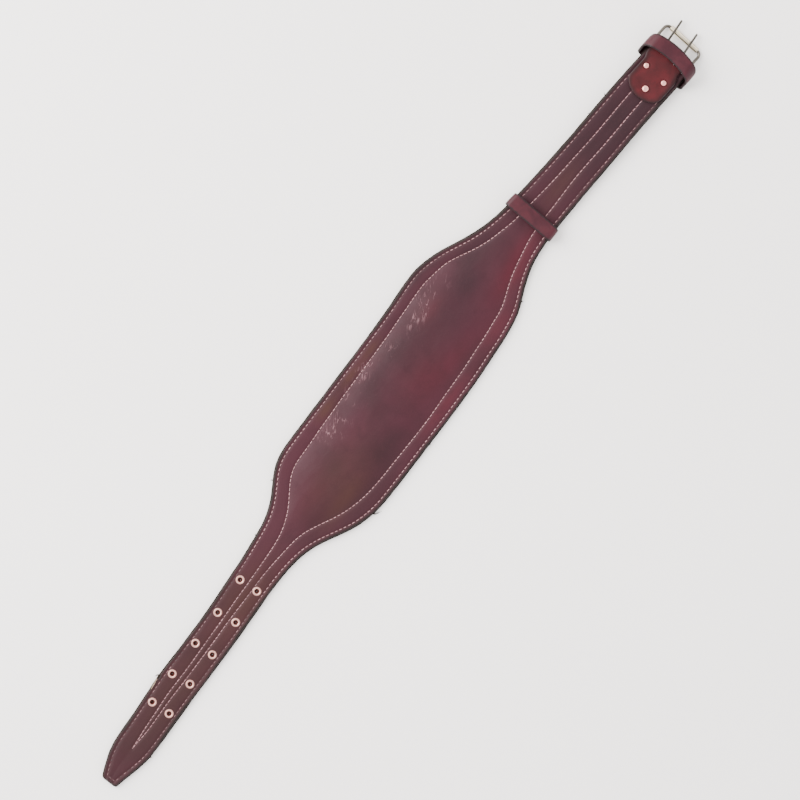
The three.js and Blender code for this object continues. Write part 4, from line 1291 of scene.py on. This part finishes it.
def plain_leather(name, base, dark, light, rim, rim_reach):
    """Leather of the small pieces, darker towards its cut edges over a reach in millimetres: dark edge dye,
    and on the tab's wide reach also painted shade.
    """
    s = Shader(name)
    edge = s.attribute("edge")
    clouds = s.noise(90, 3, 0.55, 0.5)
    fine = s.noise(500, 3, 0.6)
    colour = s.blend(s.fit(clouds, 0.32, 0.68), rgb(dark), rgb(base))
    colour = s.blend(s.fit(fine, 0.5, 0.85, 0.0, 0.3), colour, rgb(light))
    ragged = s.calc("ADD", edge, s.fit(s.noise(350, 2), 0.3, 0.7, -0.4, 0.4))
    # Fade to the rim colour over rim_reach: on the tab this is painted shade towards its edges
    colour = s.blend(s.fit(ragged, 0.5, rim_reach, 0.75, 0.0), colour, rgb(rim))
    colour = s.blend(s.fit(ragged, 0.2, 0.9, 0.9, 0.0), colour, rgb(rim))
    normal = leather_grain(s, 0.3)
    normal = s.bump(s.noise(70, 2), 0.2, 0.0008, normal)
    roughness = s.fit(clouds, 0.3, 0.7, 0.4, 0.52)
    return s.finish(Base_Color=colour, Roughness=roughness, Normal=normal, Specular_IOR_Level=0.2,
                    Coat_Weight=0.02, Coat_Roughness=0.35)


def suede_material():
    s = Shader("black_suede")
    nap = s.noise(900, 4, 0.7)
    clouds = s.noise(40, 3)
    colour = s.blend(s.fit(clouds, 0.35, 0.65), rgb("#17100d"), rgb("#231a15"))
    colour = s.blend(s.fit(nap, 0.45, 0.75, 0.0, 0.5), colour, rgb("#382b24"))
    normal = s.bump(nap, 0.7, 0.0004)
    return s.finish(Base_Color=colour, Roughness=0.95, Normal=normal, Specular_IOR_Level=0.2,
                    Sheen_Weight=0.05, Sheen_Roughness=0.5)


def thread_material():
    s = Shader("pale_thread")
    wear = s.attribute("wear")
    colour = s.blend(s.fit(s.noise(700, 2), 0.3, 0.7), rgb("#94686b"), rgb("#b28688"))
    colour = s.blend(wear, colour, rgb("#33201f"))
    turned_place = s.stretched((1, 1, 1), math.radians(35))
    twist = s.add("TexWave", {"Vector": turned_place, "Scale": 420.0}).outputs["Fac"]
    return s.finish(Base_Color=colour, Roughness=0.75, Normal=s.bump(twist, 0.35, 0.0001), Sheen_Weight=0.2)


def raw_leather_material():
    s = Shader("torn_raw_leather")
    colour = s.blend(s.fit(s.noise(900, 3), 0.35, 0.65), rgb("#6f5b4c"), rgb("#9c8874"))
    return s.finish(Base_Color=colour, Roughness=0.9, Normal=s.bump(s.noise(1500, 3), 0.6, 0.0003))


def metal_material(name, light, dark, roughness):
    """Smudged and finely scratched metal, dark along a seam and a line as painted shade where the attribute
    seam says.
    """
    s = Shader(name)
    smudge = s.noise(160, 3, 0.6, 0.4)
    scratch = s.noise(1.0, 2, 0.5, 0.0, s.stretched((300, 2600, 900), math.radians(20)))
    colour = s.blend(s.fit(smudge, 0.35, 0.7), rgb(light), rgb(dark))
    # Painted shade: dark where the seam attribute is set
    colour = s.blend(s.attribute("seam"), colour, rgb("#2e2a24"))
    rough = s.fit(smudge, 0.3, 0.7, roughness, roughness + 0.14)
    return s.finish(Base_Color=colour, Metallic=1.0, Roughness=rough, Normal=s.bump(scratch, 0.12, 0.00008))


def eyelet_material(name, light, dark):
    """Plated metal, dull and dark where the attribute bore is set: painted shade down the eyelets' bores, and
    darker round their rims' outer foot.
    """
    s = Shader(name)
    bore = s.attribute("bore")
    smudge = s.noise(420, 3, 0.6)
    colour = s.blend(s.fit(smudge, 0.35, 0.7), rgb(light), rgb(dark))
    # Painted shade: the bore colour darkens the eyelets' holes
    colour = s.blend(bore, colour, rgb("#4f2620"))
    rough = s.calc("ADD", s.fit(smudge, 0.3, 0.7, 0.28, 0.4), s.calc("MULTIPLY", bore, 0.5))
    metallic = s.calc("SUBTRACT", 0.9, bore, clamped=True)
    return s.finish(Base_Color=colour, Metallic=metallic, Roughness=rough, Specular_IOR_Level=0.3,
                    Normal=s.bump(smudge, 0.1, 0.0001))


def floor_material():
    s = Shader("pale_floor")
    colour = s.blend(s.fit(s.noise(1.6, 2), 0.3, 0.7), rgb("#fbf6f3"), rgb("#fdf9f6"))
    return s.finish(Base_Color=colour, Roughness=0.8, Normal=s.bump(s.noise(500, 2), 0.03, 0.0002))


# Stage

def make_floor():
    mesh = bpy.data.meshes.new("floor")
    corners = [(x * FLOOR_REACH, y * FLOOR_REACH, 0) for x, y in ((-1, -1), (1, -1), (1, 1), (-1, 1))]
    mesh.from_pydata(corners, [], [(0, 1, 2, 3)])
    mesh.materials.append(floor_material())
    floor = bpy.data.objects.new("floor", mesh)
    bpy.context.scene.collection.objects.link(floor)


def make_camera():
    data = bpy.data.cameras.new("camera")
    data.lens = LENS
    data.sensor_width = SENSOR
    camera = bpy.data.objects.new("camera", data)
    camera.location = (*VIEW_CENTRE, VIEW_PLANE + VIEW_WIDTH * LENS / SENSOR)
    camera.rotation_euler = (0, 0, VIEW_ROLL)
    bpy.context.scene.collection.objects.link(camera)
    bpy.context.scene.camera = camera


def make_light(name, place, target, size, power, colour):
    data = bpy.data.lights.new(name, "AREA")
    data.shape = "DISK"
    data.size = size
    data.energy = power
    data.color = colour
    light = bpy.data.objects.new(name, data)
    light.location = place
    light.rotation_euler = (Vector(target) - Vector(place)).to_track_quat("-Z", "Y").to_euler()
    bpy.context.scene.collection.objects.link(light)


def make_lights():
    """A broad window light from the photograph's upper left, and an even pale surround."""
    make_light("window", (-0.25, 1.6, 1.5), (0, 0, 0), 2.2, WINDOW_POWER, (1.0, 0.985, 0.97))
    world = bpy.data.worlds.new("surround")
    world.use_nodes = True
    tree = world.node_tree
    height = tree.nodes.new("ShaderNodeSeparateXYZ")
    tree.links.new(tree.nodes.new("ShaderNodeTexCoord").outputs["Generated"], height.inputs[0])
    fade = tree.nodes.new("ShaderNodeMapRange")
    fade.interpolation_type = "SMOOTHSTEP"
    ends = {"From Min": GLOW_FADE[0], "From Max": GLOW_FADE[1], "To Min": SIDE_GLOW, "To Max": CEILING_GLOW}
    for key, value in ends.items():
        fade.inputs[key].default_value = value
    tree.links.new(height.outputs["Z"], fade.inputs["Value"])
    background = tree.nodes["Background"]
    background.inputs["Color"].default_value = (0.98, 0.975, 0.985, 1.0)
    tree.links.new(fade.outputs["Result"], background.inputs["Strength"])
    bpy.context.scene.world = world


make_camera()
make_floor()
make_lights()

face = face_material()
keeper = plain_leather("burgundy_keeper_leather", "#391019", "#2f0e16", "#43202a", "#160b0d", 2.4)
# The tab's 6.5 mm rim reach paints shade towards its edges
tab = plain_leather("red_brown_tab_leather", "#410a10", "#340a0e", "#4b161a", "#170709", 6.5)
suede = suede_material()
thread = thread_material()
make_face(face)
make_lining(suede)
make_stitches(thread)
make_underside_stitches(thread)
make_fibres(suede)
make_torn_strip(raw_leather_material())
make_keeper_band(keeper)
make_keeper_loop(keeper)
make_tab(tab)
make_eyelets(eyelet_material("rosy_nickel", "#e6b5a8", "#c9968a"))
make_rivets(eyelet_material("bright_nickel", "#ffbcb2", "#f0a298"))
# Painted dark reflection: the frame's base colours are dark grey so its wire reads dark, as if it mirrored
# dark surroundings
make_buckle_frame(metal_material("nickel_frame", "#6d675f", "#504b45", 0.25))
make_roller(metal_material("nickel_roller", "#e0d3ba", "#c4b79f", 0.3))
prong_metal = metal_material("steel_prongs", "#56524d", "#3f3c38", 0.3)
make_prong("prong_left", PRONG_MIDDLE + ROW_SPACING / 2, prong_metal)
make_prong("prong_right", PRONG_MIDDLE - ROW_SPACING / 2, prong_metal)

bpy.context.view_layer.update()
